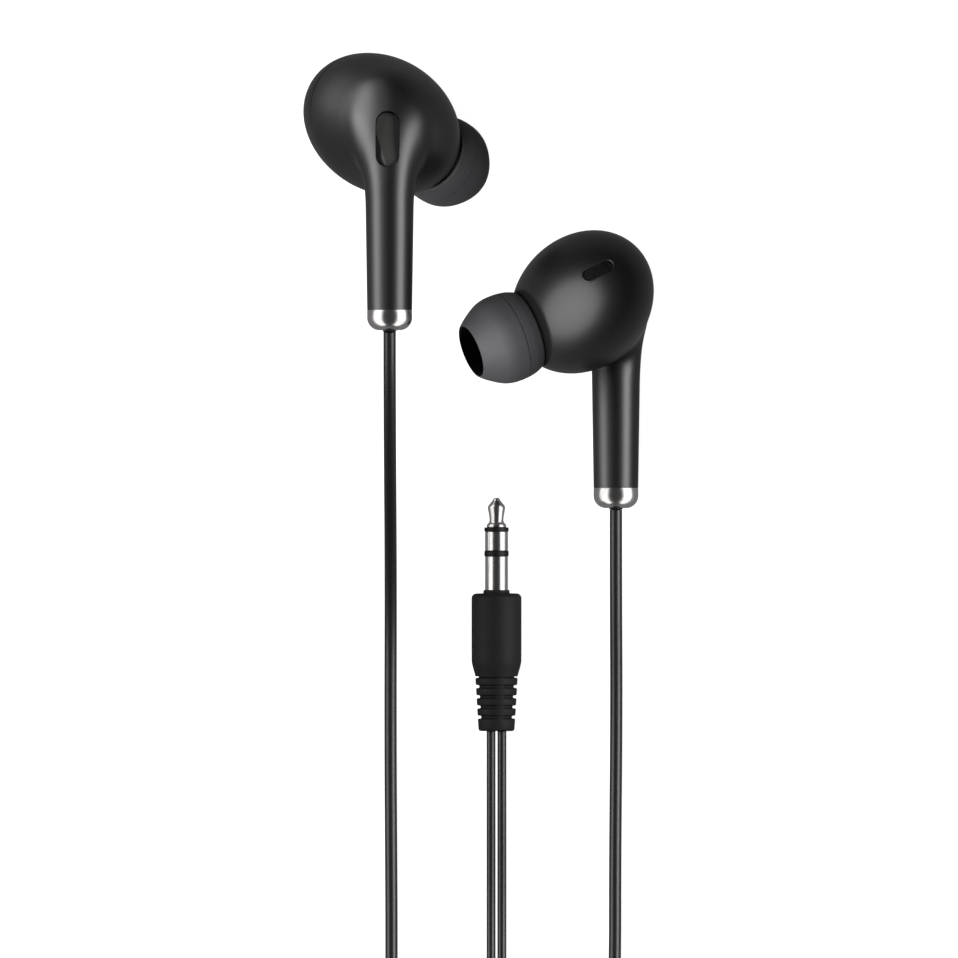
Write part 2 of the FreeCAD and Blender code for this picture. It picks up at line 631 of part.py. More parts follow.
def make_plug(place):
    """Three-contact plug, its inner moulding and its outer moulding."""
    core = "<core_radius>"
    tails = [f"<core_bottom> + {step} * <tail_step>" for step in range(5)]
    lug_top = f"{tails[4]} + <lug_thickness>"
    pieces = {
        "plug_tip_contact": [
            ("0", tails[0]), (core, tails[0]), (core, "<front_ring_top>"),
            ("<tip_flange_radius>", "<front_ring_top>"),
            ("<tip_flange_radius>", "<front_ring_top> + <tip_flange_length>"),
            ("<tip_waist_radius>", "<front_ring_top> + <tip_waist>"),
            ("<tip_ball_radius>", "<plug_end> - <tip_ball>"),
            ("<tip_nose_radius>", "<plug_end>",
             "<tip_ball_radius> - <tip_nose_in>", "<plug_end> - <tip_nose_drop>"),
            ("0", "<plug_end>")],
        "plug_front_insulator": [
            (core, tails[1]), ("<front_tube>", tails[1]), ("<front_tube>", "<contact_ring_top>"),
            ("<plug_radius>", "<contact_ring_top>"), ("<plug_radius>", "<front_ring_top>"),
            (core, "<front_ring_top>")],
        "plug_ring_contact": [
            ("<front_tube>", tails[2]), ("<ring_tube>", tails[2]),
            ("<ring_tube>", "<rear_ring_top>"), ("<plug_radius>", "<rear_ring_top>"),
            ("<plug_radius>", "<contact_ring_top>"), ("<front_tube>", "<contact_ring_top>")],
        "plug_rear_insulator": [
            ("<ring_tube>", tails[3]), ("<rear_tube>", tails[3]), ("<rear_tube>", "<sleeve_top>"),
            ("<plug_radius>", "<sleeve_top>"), ("<plug_radius>", "<rear_ring_top>"),
            ("<ring_tube>", "<rear_ring_top>")],
        "plug_sleeve_contact": [
            ("<rear_tube>", tails[4]), ("<lug_radius>", tails[4]), ("<lug_radius>", lug_top),
            ("<sleeve_root_radius>", lug_top), ("<sleeve_root_radius>", "<body_top>"),
            ("<collar_radius>", "<body_top>"),
            ("<collar_radius>", "<body_top> + <collar_length>"),
            ("<plug_radius>", "<body_top> + <collar_length>"),
            ("<plug_radius>", "<sleeve_top>"), ("<rear_tube>", "<sleeve_top>")],
    }
    for name, outline in pieces.items():
        finish(turned_body(name, outline), name, place)
    make_inner_mould(place, lug_top)
    make_overmould(place)


def make_inner_mould(place, lug_top):
    """Stiff inner moulding that holds the contacts and the soldered wires."""
    seat = "<body_top> - <mould_seat>"
    floor = "<core_bottom> - <mould_room>"
    outline = [
        ("0", "<mould_bottom>"), ("<mould_radius>", "<mould_bottom>"), ("<mould_radius>", seat),
        ("<sleeve_root_radius>", seat), ("<sleeve_root_radius>", lug_top),
        ("<lug_radius>", lug_top), ("<lug_radius>", floor), ("0", floor),
    ]
    finish(turned_body("plug_inner_mould", outline), "plug_inner_mould", place)


def make_overmould(place):
    """Soft outer moulding with the ribbed strain relief in one piece."""
    name = "plug_overmould"
    outline = [
        ("0", "0"), ("<relief_end_radius>", "0"), ("<relief_top_radius>", "<relief_length>"),
        ("<body_radius>", "<relief_length> + <taper_length>"),
        ("<body_radius>", "<body_top> - <body_round>"),
        ("<body_radius> - <body_round>", "<body_top>",
         "<body_radius> - <quarter_arc> * <body_round>",
         "<body_top> - <quarter_arc> * <body_round>"),
        ("<sleeve_root_radius>", "<body_top>"),
        ("<sleeve_root_radius>", "<body_top> - <mould_seat>"),
        ("<mould_radius>", "<body_top> - <mould_seat>"), ("<mould_radius>", "<mould_bottom>"),
        ("0", "<mould_bottom>"),
    ]
    body = turned_body(name, outline)
    sketch = new_sketch(body, name + "_rib_outline", "XZ_Plane")
    inside, outside = "<relief_end_radius> - <groove_depth>", "<relief_top_radius> + <groove_reach>"
    draw_outline(sketch, [(inside, "<groove_first> - <groove_width> / 2"),
                          (outside, "<groove_first> - <groove_width> / 2"),
                          (outside, "<groove_first> + <groove_width> / 2"),
                          (inside, "<groove_first> + <groove_width> / 2")])
    groove = body.newObject("PartDesign::Groove", name + "_groove")
    groove.Profile = sketch
    groove.ReferenceAxis = (sketch, ["V_Axis"])
    groove.Angle = 360
    pattern = body.newObject("PartDesign::LinearPattern", name + "_grooves")
    pattern.Originals = [groove]
    pattern.Direction = (sketch, ["V_Axis"])
    bind(pattern, Length="<groove_pitch> * 4")
    pattern.Occurrences = 5
    body.Tip = pattern
    finish(body, name, place)


# ---------------------------------------------------------------- cords between the pieces

def cord_routes():
    """Hand-chosen routes of the four cords that show, each from its exit to the hank."""
    left = SIZES["left_x"]
    right = SIZES["right_x"]
    strand_left = SIZES["plug_x"] - SIZES["strand_spacing"] / 2
    strand_right = SIZES["plug_x"] + SIZES["strand_spacing"] / 2
    rest = SIZES["cord_diameter"] / 2
    strand_rest = SIZES["strand_diameter"] / 2
    left_exit = SIZES["left_y"] - SIZES["grommet_out"]
    right_exit = SIZES["right_y"] - SIZES["grommet_out"]
    return {
        "cord_left": [
            Vector(left, left_exit, SIZES["left_height"]), Vector(left, -20, 22.0),
            Vector(left + 0.1, -43, 4.5), Vector(left, -66, rest),
            Vector(left + 0.2, -95, rest), Vector(left, -122, rest + 1.2)],
        "cord_right": [
            Vector(right, right_exit, SIZES["right_height"]), Vector(right, -45, 2.6),
            Vector(right + 0.1, -62, rest), Vector(right - 0.1, -90, rest),
            Vector(right - 2.0, -110, rest), Vector(9.5, -122, rest + 1.2)],
        "strand_left": [
            Vector(strand_left, SIZES["plug_y"], SIZES["plug_height"]),
            Vector(strand_left, -77, 2.4), Vector(strand_left - 0.1, -90, strand_rest),
            Vector(strand_left + 0.1, -102, strand_rest + 0.2), Vector(strand_left, -112, 2.4)],
        "strand_right": [
            Vector(strand_right, SIZES["plug_y"], SIZES["plug_height"]),
            Vector(strand_right, -77, 2.4), Vector(strand_right + 0.1, -90, strand_rest),
            Vector(strand_right - 0.1, -102, strand_rest + 0.2), Vector(strand_right, -112, 2.4)],
    }


def make_cords():
    """The cord from each earpiece and the two strands from the plug."""
    for name, points in cord_routes().items():
        kind = "cord_diameter" if name.startswith("cord") else "strand_diameter"
        make_tube(name, points, SIZES[kind])


def make_hank():
    """Outer shape of all the wound turns, as one closed ring with an open middle."""
    half_run = "<hank_run> / 2"
    outside = padded_body("hank_outside", racetrack(half_run, "<hank_outer>", "y"), "<hank_height>")
    inside = padded_body("hank_inside", racetrack(half_run, "<hank_inner>", "y"), "<hank_height>")
    spot = Vector(SIZES["hank_x"], SIZES["hank_y"], SIZES["hank_base"])
    finish(cut("cord_hank", outside, inside), "cord_hank", Placement(spot, Rotation()))


def make_splitter():
    """Moulded Y-piece where the two single cords become the twin strands."""
    name = "y_splitter"
    half_x, half_y = "<splitter_width> / 2", "<splitter_length> / 2"
    corner = "<splitter_round>"
    body = padded_body(name, [
        (f"-{half_x} + {corner}", f"-{half_y}"), (f"{half_x} - {corner}", f"-{half_y}"),
        (half_x, f"-{half_y} + {corner}"), (half_x, f"{half_y} - {corner}"),
        (f"{half_x} - {corner}", half_y), (f"-{half_x} + {corner}", half_y),
        (f"-{half_x}", f"{half_y} - {corner}"), (f"-{half_x}", f"-{half_y} + {corner}"),
    ], "<splitter_thickness>")
    spot = Vector(SIZES["splitter_x"], SIZES["hank_y"] + SIZES["splitter_offset"],
                  value("<hank_base> + <hank_height>"))
    finish(body, name, Placement(spot, Rotation()))


def make_tie():
    """Strap round the waist of the hank."""
    name = "cord_tie"
    around = "<hank_outer> + <tie_room>"
    inner_height = "<hank_height> + 2 * <tie_room>"
    outer_block = solid("Box", name + "_outside", Length=f"2 * ({around} + <tie_thickness>)",
                        Width="<tie_width>", Height=f"{inner_height} + 2 * <tie_thickness>")
    inner_block = solid("Box", name + "_inside", Length=f"2 * ({around})",
                        Width="<tie_width>", Height=inner_height)
    inner_block.Placement.Base = Vector(SIZES["tie_thickness"], 0, SIZES["tie_thickness"])
    spot = Vector(SIZES["hank_x"] - value(f"{around} + <tie_thickness>"),
                  SIZES["hank_y"] + SIZES["tie_offset"],
                  SIZES["hank_base"] - SIZES["tie_thickness"] - SIZES["tie_room"])
    finish(cut(name, outer_block, inner_block), name, Placement(spot, Rotation()))


# ---------------------------------------------------------------- assembly

def make_earpiece(side, place):
    """All sub-parts of one earpiece."""
    make_outer_shell(side, place)
    make_inner_shell(side, place)
    make_slot_inlay(side, place)
    make_vent_mesh(side, place)
    make_nozzle_mesh(side, place)
    make_ear_tip(side, place)
    make_driver(side, place)
    make_end_cap(side, place)
    make_grommet(side, place)
    make_knot(side, place)
    make_inner_lead(side, place)


def check_and_export():
    """Stop at any broken sub-part, then write one STEP file for each."""
    for item in doc.Objects:
        if "Invalid" in item.State or "Error" in item.State:
            raise RuntimeError(f"{item.Label} did not build: {item.State}")
    os.makedirs("parts", exist_ok=True)
    for item in final_parts:
        if item.Shape.isNull() or not item.Shape.isValid():
            raise RuntimeError(f"{item.Label} has no valid shape")
        item.Shape.exportStep(f"parts/{item.Label}.step")
    print(f"{len(final_parts)} sub-parts exported")


make_earpiece("left", Placement(Vector(SIZES["left_x"], SIZES["left_y"], SIZES["left_height"]),
                                Rotation()))
make_earpiece("right", Placement(Vector(SIZES["right_x"], SIZES["right_y"], SIZES["right_height"]),
                                 Rotation(Y_AXIS, SIZES["right_turn"])))
make_plug(Placement(Vector(SIZES["plug_x"], SIZES["plug_y"], SIZES["plug_height"]),
                    Rotation(X_AXIS, -90)))
make_cords()
make_hank()
make_splitter()
make_tie()
doc.recompute()
check_and_export()
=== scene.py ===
"""Wired earphones on a pale table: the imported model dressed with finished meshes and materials.

Lengths are written in millimetres in the tables and turned into metres by MM. Each earpiece is
modelled in its own frame: origin at the end of the metal cap, +Y up the stem, +Z out of the outer
face. EARS holds the two matrices that put it in place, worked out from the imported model.
"""
import json
import math
from contextlib import contextmanager

import bmesh
import bpy
import numpy as np
from mathutils import Matrix, Vector

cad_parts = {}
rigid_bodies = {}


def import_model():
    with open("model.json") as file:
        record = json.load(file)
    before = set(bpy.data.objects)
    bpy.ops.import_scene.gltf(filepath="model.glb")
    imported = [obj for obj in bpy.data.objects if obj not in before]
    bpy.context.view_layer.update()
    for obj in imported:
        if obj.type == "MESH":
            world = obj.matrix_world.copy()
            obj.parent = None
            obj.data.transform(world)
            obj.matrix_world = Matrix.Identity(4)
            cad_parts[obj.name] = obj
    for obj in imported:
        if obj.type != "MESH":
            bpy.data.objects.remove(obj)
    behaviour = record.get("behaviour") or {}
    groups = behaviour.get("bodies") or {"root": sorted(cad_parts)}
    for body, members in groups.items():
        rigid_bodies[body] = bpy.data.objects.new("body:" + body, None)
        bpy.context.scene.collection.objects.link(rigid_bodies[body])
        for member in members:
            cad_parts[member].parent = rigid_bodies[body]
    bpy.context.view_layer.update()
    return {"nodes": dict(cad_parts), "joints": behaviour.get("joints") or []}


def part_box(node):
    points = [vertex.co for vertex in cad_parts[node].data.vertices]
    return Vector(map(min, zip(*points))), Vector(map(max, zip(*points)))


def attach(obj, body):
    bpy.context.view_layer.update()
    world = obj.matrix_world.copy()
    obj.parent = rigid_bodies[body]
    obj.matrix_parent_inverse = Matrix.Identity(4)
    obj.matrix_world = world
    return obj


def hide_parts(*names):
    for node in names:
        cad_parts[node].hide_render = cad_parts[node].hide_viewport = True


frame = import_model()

MM = 0.001
SIDES = ("left", "right")

# ---------------- sizes, in millimetres

BULB_MIDDLE = np.array([-1.2, 29.9, -10.8])
BULB_RADII = np.array([12.1, 9.4, 10.1])
BULB_TURN, BULB_DIP, BULB_ROLL = 17.9, -28.5, -40.2
STEM_FOOT, STEM_FOOT_RADIUS, STEM_TOP_RADIUS = 2.95, 3.25, 3.68
STEM_TOP, STEM_TOP_BLEND, STEM_LEAN_START, STEM_LEAN = 31.0, 4.5, 20.0, 0.022
SHOULDER_MIDDLE, SHOULDER_RADII = np.array([-0.4, 29.5, -2.6]), np.array([5.0, 6.8, 4.0])
SHOULDER_BLEND, STEM_BLEND, CREASE_BLEND = 9.0, 5.6, 0.45
CREASE_DEPTH, CREASE_FADE = -4.5, 5.5
PARTING_TURN, PARTING_GAP, PARTING_REACH, PARTING_DROP = 16.75, 0.025, 0.35, 0.06
WALL, SKIN_VOXEL = 0.9, 0.33
NOZZLE_START = np.array([5.87, 25.8, -14.6])
NOZZLE_RADIUS, NOZZLE_BORE, NOZZLE_END = 2.75, 2.1, 6.4
LEDGE, LEDGE_BLEND = -0.14, 0.2
SLOT_MIDDLE, SLOT_LENGTH, SLOT_WIDTH = (-0.3, 27.2), 8.25, 3.45
SLOT_FLOOR, SLOT_TILT = 0.9, -11.0
CAP_RADIUS, CAP_LENGTH = 3.25, 2.95
CORD, STRAND = 1.8, 1.3
VIEW_WIDTH, VIEW_PLANE, VIEW_DISTANCE = 138.84, 12.0, 3000.0
VIEW_MIDDLE = (0.08, -28.6)


# ---------------- frames of the two earpieces

def joint_axis(name):
    """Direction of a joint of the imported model."""
    return Vector(next(joint["axis"] for joint in frame["joints"] if joint["name"] == name))


def ear_matrices():
    """Earpiece frame to model, in metres: the left is upright, the right is turned about +Y."""
    pull_left, pull_right = (joint_axis(f"{side}_ear_tip_pull") for side in SIDES)
    heading = [math.atan2(axis.x, axis.z) for axis in (pull_left, pull_right)]
    turns = {"left": 0.0, "right": heading[1] - heading[0]}
    matrices = {}
    for side in SIDES:
        low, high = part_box(f"{side}_end_cap")
        middle = (low + high) / 2
        matrices[side] = (Matrix.Translation((middle.x, low.y, middle.z))
                          @ Matrix.Rotation(turns[side], 4, "Y"))
    return matrices, pull_left


EARS, NOZZLE_AXIS = ear_matrices()
NOZZLE_AXIS = np.array(NOZZLE_AXIS)


# ---------------- small mesh tools

def link(obj):
    """Put an object in the scene."""
    bpy.context.scene.collection.objects.link(obj)
    return obj


def mesh_object(name, points, faces, smooth=True):
    """An object from points in millimetres and faces."""
    mesh = bpy.data.meshes.new(name)
    mesh.from_pydata([[axis * MM for axis in point] for point in points], [], faces)
    mesh.validate()
    mesh.update()
    if smooth:
        mesh.polygons.foreach_set("use_smooth", [True] * len(mesh.polygons))
    return link(bpy.data.objects.new(name, mesh))


@contextmanager
def editing(mesh):
    """Open a mesh for editing, and write the changes back."""
    edit = bmesh.new()
    edit.from_mesh(mesh)
    yield edit
    edit.to_mesh(mesh)
    edit.free()


def sharpen(obj, degrees=35):
    """Keep edges steeper than this sharp in the shading."""
    with editing(obj.data) as edit:
        for edge in edit.edges:
            if len(edge.link_faces) == 2:
                edge.smooth = edge.calc_face_angle(0) < math.radians(degrees)


def fix_normals(obj):
    """Point every face outwards."""
    with editing(obj.data) as edit:
        bmesh.ops.recalc_face_normals(edit, faces=edit.faces)


def apply_modifiers(obj):
    """Turn an object's modifiers into its mesh."""
    view = bpy.context.evaluated_depsgraph_get()
    finished = bpy.data.meshes.new_from_object(obj.evaluated_get(view), depsgraph=view)
    obj.modifiers.clear()
    old, obj.data = obj.data, finished
    bpy.data.meshes.remove(old)


def place(obj, matrix):
    """Move an object's mesh by a matrix, so that the object itself stays at the origin."""
    obj.data.transform(matrix)
    obj.data.update()
    return obj


def lathe(name, profile, segments=96, closed=True, degrees=35):
    """A turned piece about +Z from (radius, height) points in millimetres, outside in order."""
    points, faces, rings = [], [], []
    for radius, height in profile:
        if radius < 1e-6:
            rings.append([len(points)])
            points.append((0, 0, height))
        else:
            rings.append(list(range(len(points), len(points) + segments)))
            points += [(radius * math.cos(2 * math.pi * step / segments),
                        radius * math.sin(2 * math.pi * step / segments), height)
                       for step in range(segments)]
    pairs = list(zip(rings, rings[1:] + rings[:1])) if closed else list(zip(rings, rings[1:]))
    for lower, upper in pairs:
        if len(lower) == 1 and len(upper) == 1:
            continue
        for step in range(segments):
            after = (step + 1) % segments
            corners = [lower[step % len(lower)], lower[after % len(lower)],
                       upper[after % len(upper)], upper[step % len(upper)]]
            faces.append(tuple(dict.fromkeys(corners)))
    obj = mesh_object(name, points, faces)
    fix_normals(obj)
    sharpen(obj, degrees)
    return obj


def smooth_through(points, steps=6):
    """A smooth line through the points, as a Catmull-Rom curve."""
    points = [np.array(point, float) for point in points]
    padded = [2 * points[0] - points[1]] + points + [2 * points[-1] - points[-2]]
    line = []
    for p0, p1, p2, p3 in zip(padded, padded[1:], padded[2:], padded[3:]):
        for step in range(steps):
            t = step / steps
            line.append(0.5 * (2 * p1 + (p2 - p0) * t + (2 * p0 - 5 * p1 + 4 * p2 - p3) * t ** 2
                               + (3 * p1 - p0 - 3 * p2 + p3) * t ** 3))
    line.append(points[-1])
    return [tuple(point) for point in line]


def arc(centre, radius, start, end, steps=8):
    """Points of an arc in a profile, angles in degrees."""
    angles = np.radians(np.linspace(start, end, steps + 1))
    return [(centre[0] + radius * math.cos(a), centre[1] + radius * math.sin(a)) for a in angles]


def slot_outline(length, width, steps=14):
    """Outline of a slot with round ends, its long side along X."""
    run, radius = (length - width) / 2, width / 2
    right = [(run + x, y) for x, y in arc((0, 0), radius, -90, 90, steps)]
    left = [(-run + x, y) for x, y in arc((0, 0), radius, 90, 270, steps)]
    return right + left


def skinned(name, rows, closed=False, degrees=None):
    """A body through rows of points, joined end to end if closed and capped if not."""
    count, total = len(rows[0]), len(rows)
    faces = [(row * count + i, row * count + (i + 1) % count,
              (row + 1) % total * count + (i + 1) % count, (row + 1) % total * count + i)
             for row in range(total if closed else total - 1) for i in range(count)]
    if not closed:
        faces += [tuple(range(count)), tuple(range(count * (total - 1), count * total))]
    obj = mesh_object(name, [point for row in rows for point in row], faces)
    fix_normals(obj)
    if degrees:
        sharpen(obj, degrees)
    return obj


def at_height(outline, height):
    """An outline's points at one height."""
    return [(x, y, height) for x, y in outline]


def basis(origin, x_axis, y_axis, z_axis):
    """A matrix in metres from an origin in millimetres and three axes."""
    matrix = Matrix([[*row] for row in zip(x_axis, y_axis, z_axis)]).to_4x4()
    return Matrix.Translation(Vector(origin) * MM) @ matrix


def aimed(origin, z_axis, up=(0, 1, 0)):
    """A frame at origin with +Z along z_axis and +Y as near to up as it can be."""
    forward = Vector(z_axis).normalized()
    side = Vector(up).cross(forward).normalized()
    return basis(origin, side, forward.cross(side), forward)


# ---------------- camera

def make_camera():
    """Straight above the table with a long lens."""
    data = bpy.data.cameras.new("camera")
    data.sensor_width = 36.0
    data.lens = data.sensor_width * VIEW_DISTANCE / VIEW_WIDTH
    data.clip_start, data.clip_end = 0.1, 10.0
    camera = link(bpy.data.objects.new("camera", data))
    camera.location = Vector((*VIEW_MIDDLE, VIEW_PLANE + VIEW_DISTANCE)) * MM
    bpy.context.scene.camera = camera


# ---------------- cords

HANK_MIDDLE = (0.3, -133.2)
HANK_HALF_RUN = 12.0
HANK_BASE = 0.8
STRAND_LANES = (5.45, 6.79, 8.13, 9.47)
STRAND_LAYERS = (1.45, 2.78, 4.11, 5.44)
CORD_LANES = {"left": 12.82, "right": 11.0}
CORD_LAYERS = (1.7, 3.5)
ARC_STEPS = (30, 60, 90, 120, 150)
ARC_ALLOWANCE = 1 / 0.966
SPLITTER_MIDDLE = (-9.6, -125.2, 8.0)
SPLITTER_SIZE = (6.4, 12.0, 3.6)
PLUG_X, PLUG_END, PLUG_HEIGHT = 2.62, -65.23, 3.65
STRAND_HALF_GAP = 0.79


def hank_side(radius, sign, heights):
    """Control points along one straight side of a turn; sign -1 is the left side, going down."""
    places = np.linspace(-HANK_HALF_RUN, HANK_HALF_RUN, 4) * sign
    return [(HANK_MIDDLE[0] + sign * radius, HANK_MIDDLE[1] + y, z)
            for y, z in zip(places, heights)]


def hank_bend(start, end, sign):
    """Control points round one end of a turn, from lane to lane; sign -1 is the lower end."""
    points = []
    for number, angle in enumerate(ARC_STEPS, start=1):
        share = number / (len(ARC_STEPS) + 1)
        radius = (start[0] + (end[0] - start[0]) * share) * ARC_ALLOWANCE
        height = start[1] + (end[1] - start[1]) * share
        turn = math.radians(angle if sign > 0 else 180 + angle)
        points.append((HANK_MIDDLE[0] + radius * math.cos(turn),
                       HANK_MIDDLE[1] + sign * HANK_HALF_RUN + radius * math.sin(turn), height))
    return points


def hank_turn(lane, following):
    """One turn: down the left, round the lower end, up the right and over to the next lane."""
    level = [lane[1]] * 4
    return (hank_side(lane[0], -1, level) + hank_bend(lane, lane, -1)
            + hank_side(lane[0], 1, level) + hank_bend(lane, following, 1))


def left_route():
    """The cord of the left earpiece down to the table and straight on to the hank."""
    rest = CORD / 2
    x = -12.82
    return [(x, -7.38, 24.07), (x, -20, 22.0), (x + 0.1, -43, 4.5), (x, -66, rest),
            (x + 0.2, -95, rest), (x + 0.1, -110, rest + 0.2)]


def right_route():
    """The cord of the right earpiece along the table and round into the hank's upper end."""
    rest = CORD / 2
    x = 19.98
    return [(x, -33.08, 3.5), (x, -45, 2.6), (x + 0.1, -62, rest), (x - 0.1, -84, rest),
            (x - 0.1, -95, rest), (x - 0.2, -101.5, rest), (x - 1.6, -107.0, rest + 0.2),
            (13.0, -111.0, 1.3), (6.5, -111.3, 1.5)]


def earpiece_cord(side):
    """Control points of one earpiece's cord, from its cap to the splitter."""
    lane = CORD_LANES[side]
    first, second = ((lane, height) for height in CORD_LAYERS)
    entry = SPLITTER_MIDDLE[0] + (-1.5 if side == "left" else 1.5)
    last_radius = HANK_MIDDLE[0] - entry
    points = left_route() if side == "left" else right_route()
    if side == "right":
        points += hank_bend(first, first, 1)[2:]
    points += hank_turn(first, second)
    points += hank_side(lane, -1, [second[1]] * 4) + hank_bend(second, second, -1)
    points += hank_side(lane, 1, [second[1], second[1], second[1] + 0.1, second[1] + 0.5])
    points += hank_bend((lane, second[1] + 0.5), (last_radius, SPLITTER_MIDDLE[2]), 1)
    end_y = SPLITTER_MIDDLE[1] + SPLITTER_SIZE[1] / 2
    points.append((entry, end_y - 1.0, SPLITTER_MIDDLE[2]))
    return points


def strand_turns(first_lane, second_lane, side_step):
    """Control points of one strand, from the splitter and through the hank."""
    start_x = SPLITTER_MIDDLE[0] - side_step
    start_y = SPLITTER_MIDDLE[1] - SPLITTER_SIZE[1] / 2
    top = SPLITTER_MIDDLE[2]
    over = HANK_MIDDLE[0] - start_x
    points = [(start_x, start_y + 1.0, top), (start_x, start_y - 4, top),
              (start_x, start_y - 11, top - 0.2)]
    points += hank_bend((over, top - 0.3), (first_lane, STRAND_LAYERS[3]), -1)
    points += hank_side(first_lane, 1, [STRAND_LAYERS[3]] * 4)
    lanes = [(first_lane, height) for height in STRAND_LAYERS[::-1]]
    lanes += [(second_lane, height) for height in STRAND_LAYERS]
    points += hank_bend(lanes[0], lanes[1], 1)
    for lane, following in zip(lanes[1:-1], lanes[2:]):
        points += hank_turn(lane, following)
    last = lanes[-1]
    points += hank_side(last[0], -1, [last[1]] * 4) + hank_bend(last, last, -1)
    return points


def strand_exit(lane, offset):
    """Control points from the hank's right side over its upper end and up to the plug."""
    x = PLUG_X + offset
    rest = STRAND / 2
    middle_x, middle_y = HANK_MIDDLE
    return [(middle_x + lane, middle_y - 12, STRAND_LAYERS[3]),
            (middle_x + lane - 0.2, middle_y - 5, 5.6), (middle_x + lane - 1.4, middle_y + 2, 6.6),
            (x + 2.6, middle_y + 10, 8.0), (x + 0.7, middle_y + 17, 8.1),
            (x, -110, 7.6), (x, -104.5, 3.0), (x, -99.5, rest), (x, -90, rest),
            (x, -77, 2.4), (x, PLUG_END, PLUG_HEIGHT)]


def cord_object(name, points, diameter, material):
    """One smooth round cord on an open spline through a list of control points."""
    curve = bpy.data.curves.new(name, "CURVE")
    curve.dimensions = "3D"
    spline = curve.splines.new("NURBS")
    spline.points.add(len(points) - 1)
    for target, point in zip(spline.points, points):
        target.co = (*[axis * MM for axis in point], 1.0)
    spline.order_u = 3
    spline.use_endpoint_u = True
    curve.resolution_u = 8
    curve.bevel_depth = diameter / 2 * MM
    curve.bevel_resolution = 6
    curve.use_fill_caps = True
    curve.materials.append(material)
    return link(bpy.data.objects.new(name, curve))


# ---------------- materials

def node(tree, kind, **settings):
    """A node with some of its properties or inputs set."""
    made = tree.nodes.new(kind)
    for key, setting in settings.items():
        if key in made.inputs:
            made.inputs[key].default_value = setting
        else:
            setattr(made, key, setting)
    return made


def surface(name, dark, light, rough, patch, grain, depth, stretch=(1, 1, 1), wear=0.0, **sockets):
    """A material whose colour drifts between two tones over patches and whose grain is bumped.

    patch and grain are the sizes of their features and depth the grain's height, in millimetres.
    """
    material = bpy.data.materials.new(name)
    material.use_nodes = True
    tree = material.node_tree
    shader = tree.nodes["Principled BSDF"]
    for socket, setting in sockets.items():
        shader.inputs[socket.replace("_", " ")].default_value = setting
    place_in = node(tree, "ShaderNodeTexCoord")
    mapping = node(tree, "ShaderNodeMapping", Scale=stretch)
    drift = node(tree, "ShaderNodeTexNoise", Scale=1 / (patch * MM), Detail=3.0)
    fine = node(tree, "ShaderNodeTexNoise", Scale=1 / (grain * MM), Detail=2.0)
    tone = node(tree, "ShaderNodeMix", data_type="RGBA")
    tone.inputs["A"].default_value = (*dark, 1)
    tone.inputs["B"].default_value = (*light, 1)
    colour_out = tone.outputs["Result"]
    gloss = node(tree, "ShaderNodeMapRange")
    gloss.inputs["To Min"].default_value, gloss.inputs["To Max"].default_value = rough
    bump = node(tree, "ShaderNodeBump", Strength=1.0, Distance=depth * MM)
    join = tree.links.new
    join(place_in.outputs["Object"], mapping.inputs["Vector"])
    for noise in (drift, fine):
        join(mapping.outputs["Vector"], noise.inputs["Vector"])
    join(drift.outputs["Fac"], tone.inputs["Factor"])
    join(fine.outputs["Fac"], gloss.inputs["Value"])
    join(fine.outputs["Fac"], bump.inputs["Height"])
    if wear:
        colour_out = worn_edges(tree, colour_out, wear, light)
    join(colour_out, shader.inputs["Base Color"])
    join(gloss.outputs["Result"], shader.inputs["Roughness"])
    join(bump.outputs["Normal"], shader.inputs["Normal"])
    return material


EDGE_POINTINESS = (0.52, 0.62)


def worn_edges(tree, colour, wear, light):
    """Lighten the colour a little where the surface is sharply convex."""
    geometry = node(tree, "ShaderNodeNewGeometry")
    edge = node(tree, "ShaderNodeMapRange")
    for limit, pointiness in zip(("From Min", "From Max"), EDGE_POINTINESS):
        edge.inputs[limit].default_value = pointiness
    edge.inputs["To Max"].default_value = wear
    mix = node(tree, "ShaderNodeMix", data_type="RGBA")
    mix.inputs["B"].default_value = (*[min(1.0, tone * 3 + 0.02) for tone in light], 1)
    tree.links.new(geometry.outputs["Pointiness"], edge.inputs["Value"])
    tree.links.new(edge.outputs["Result"], mix.inputs["Factor"])
    tree.links.new(colour, mix.inputs["A"])
    return mix.outputs["Result"]


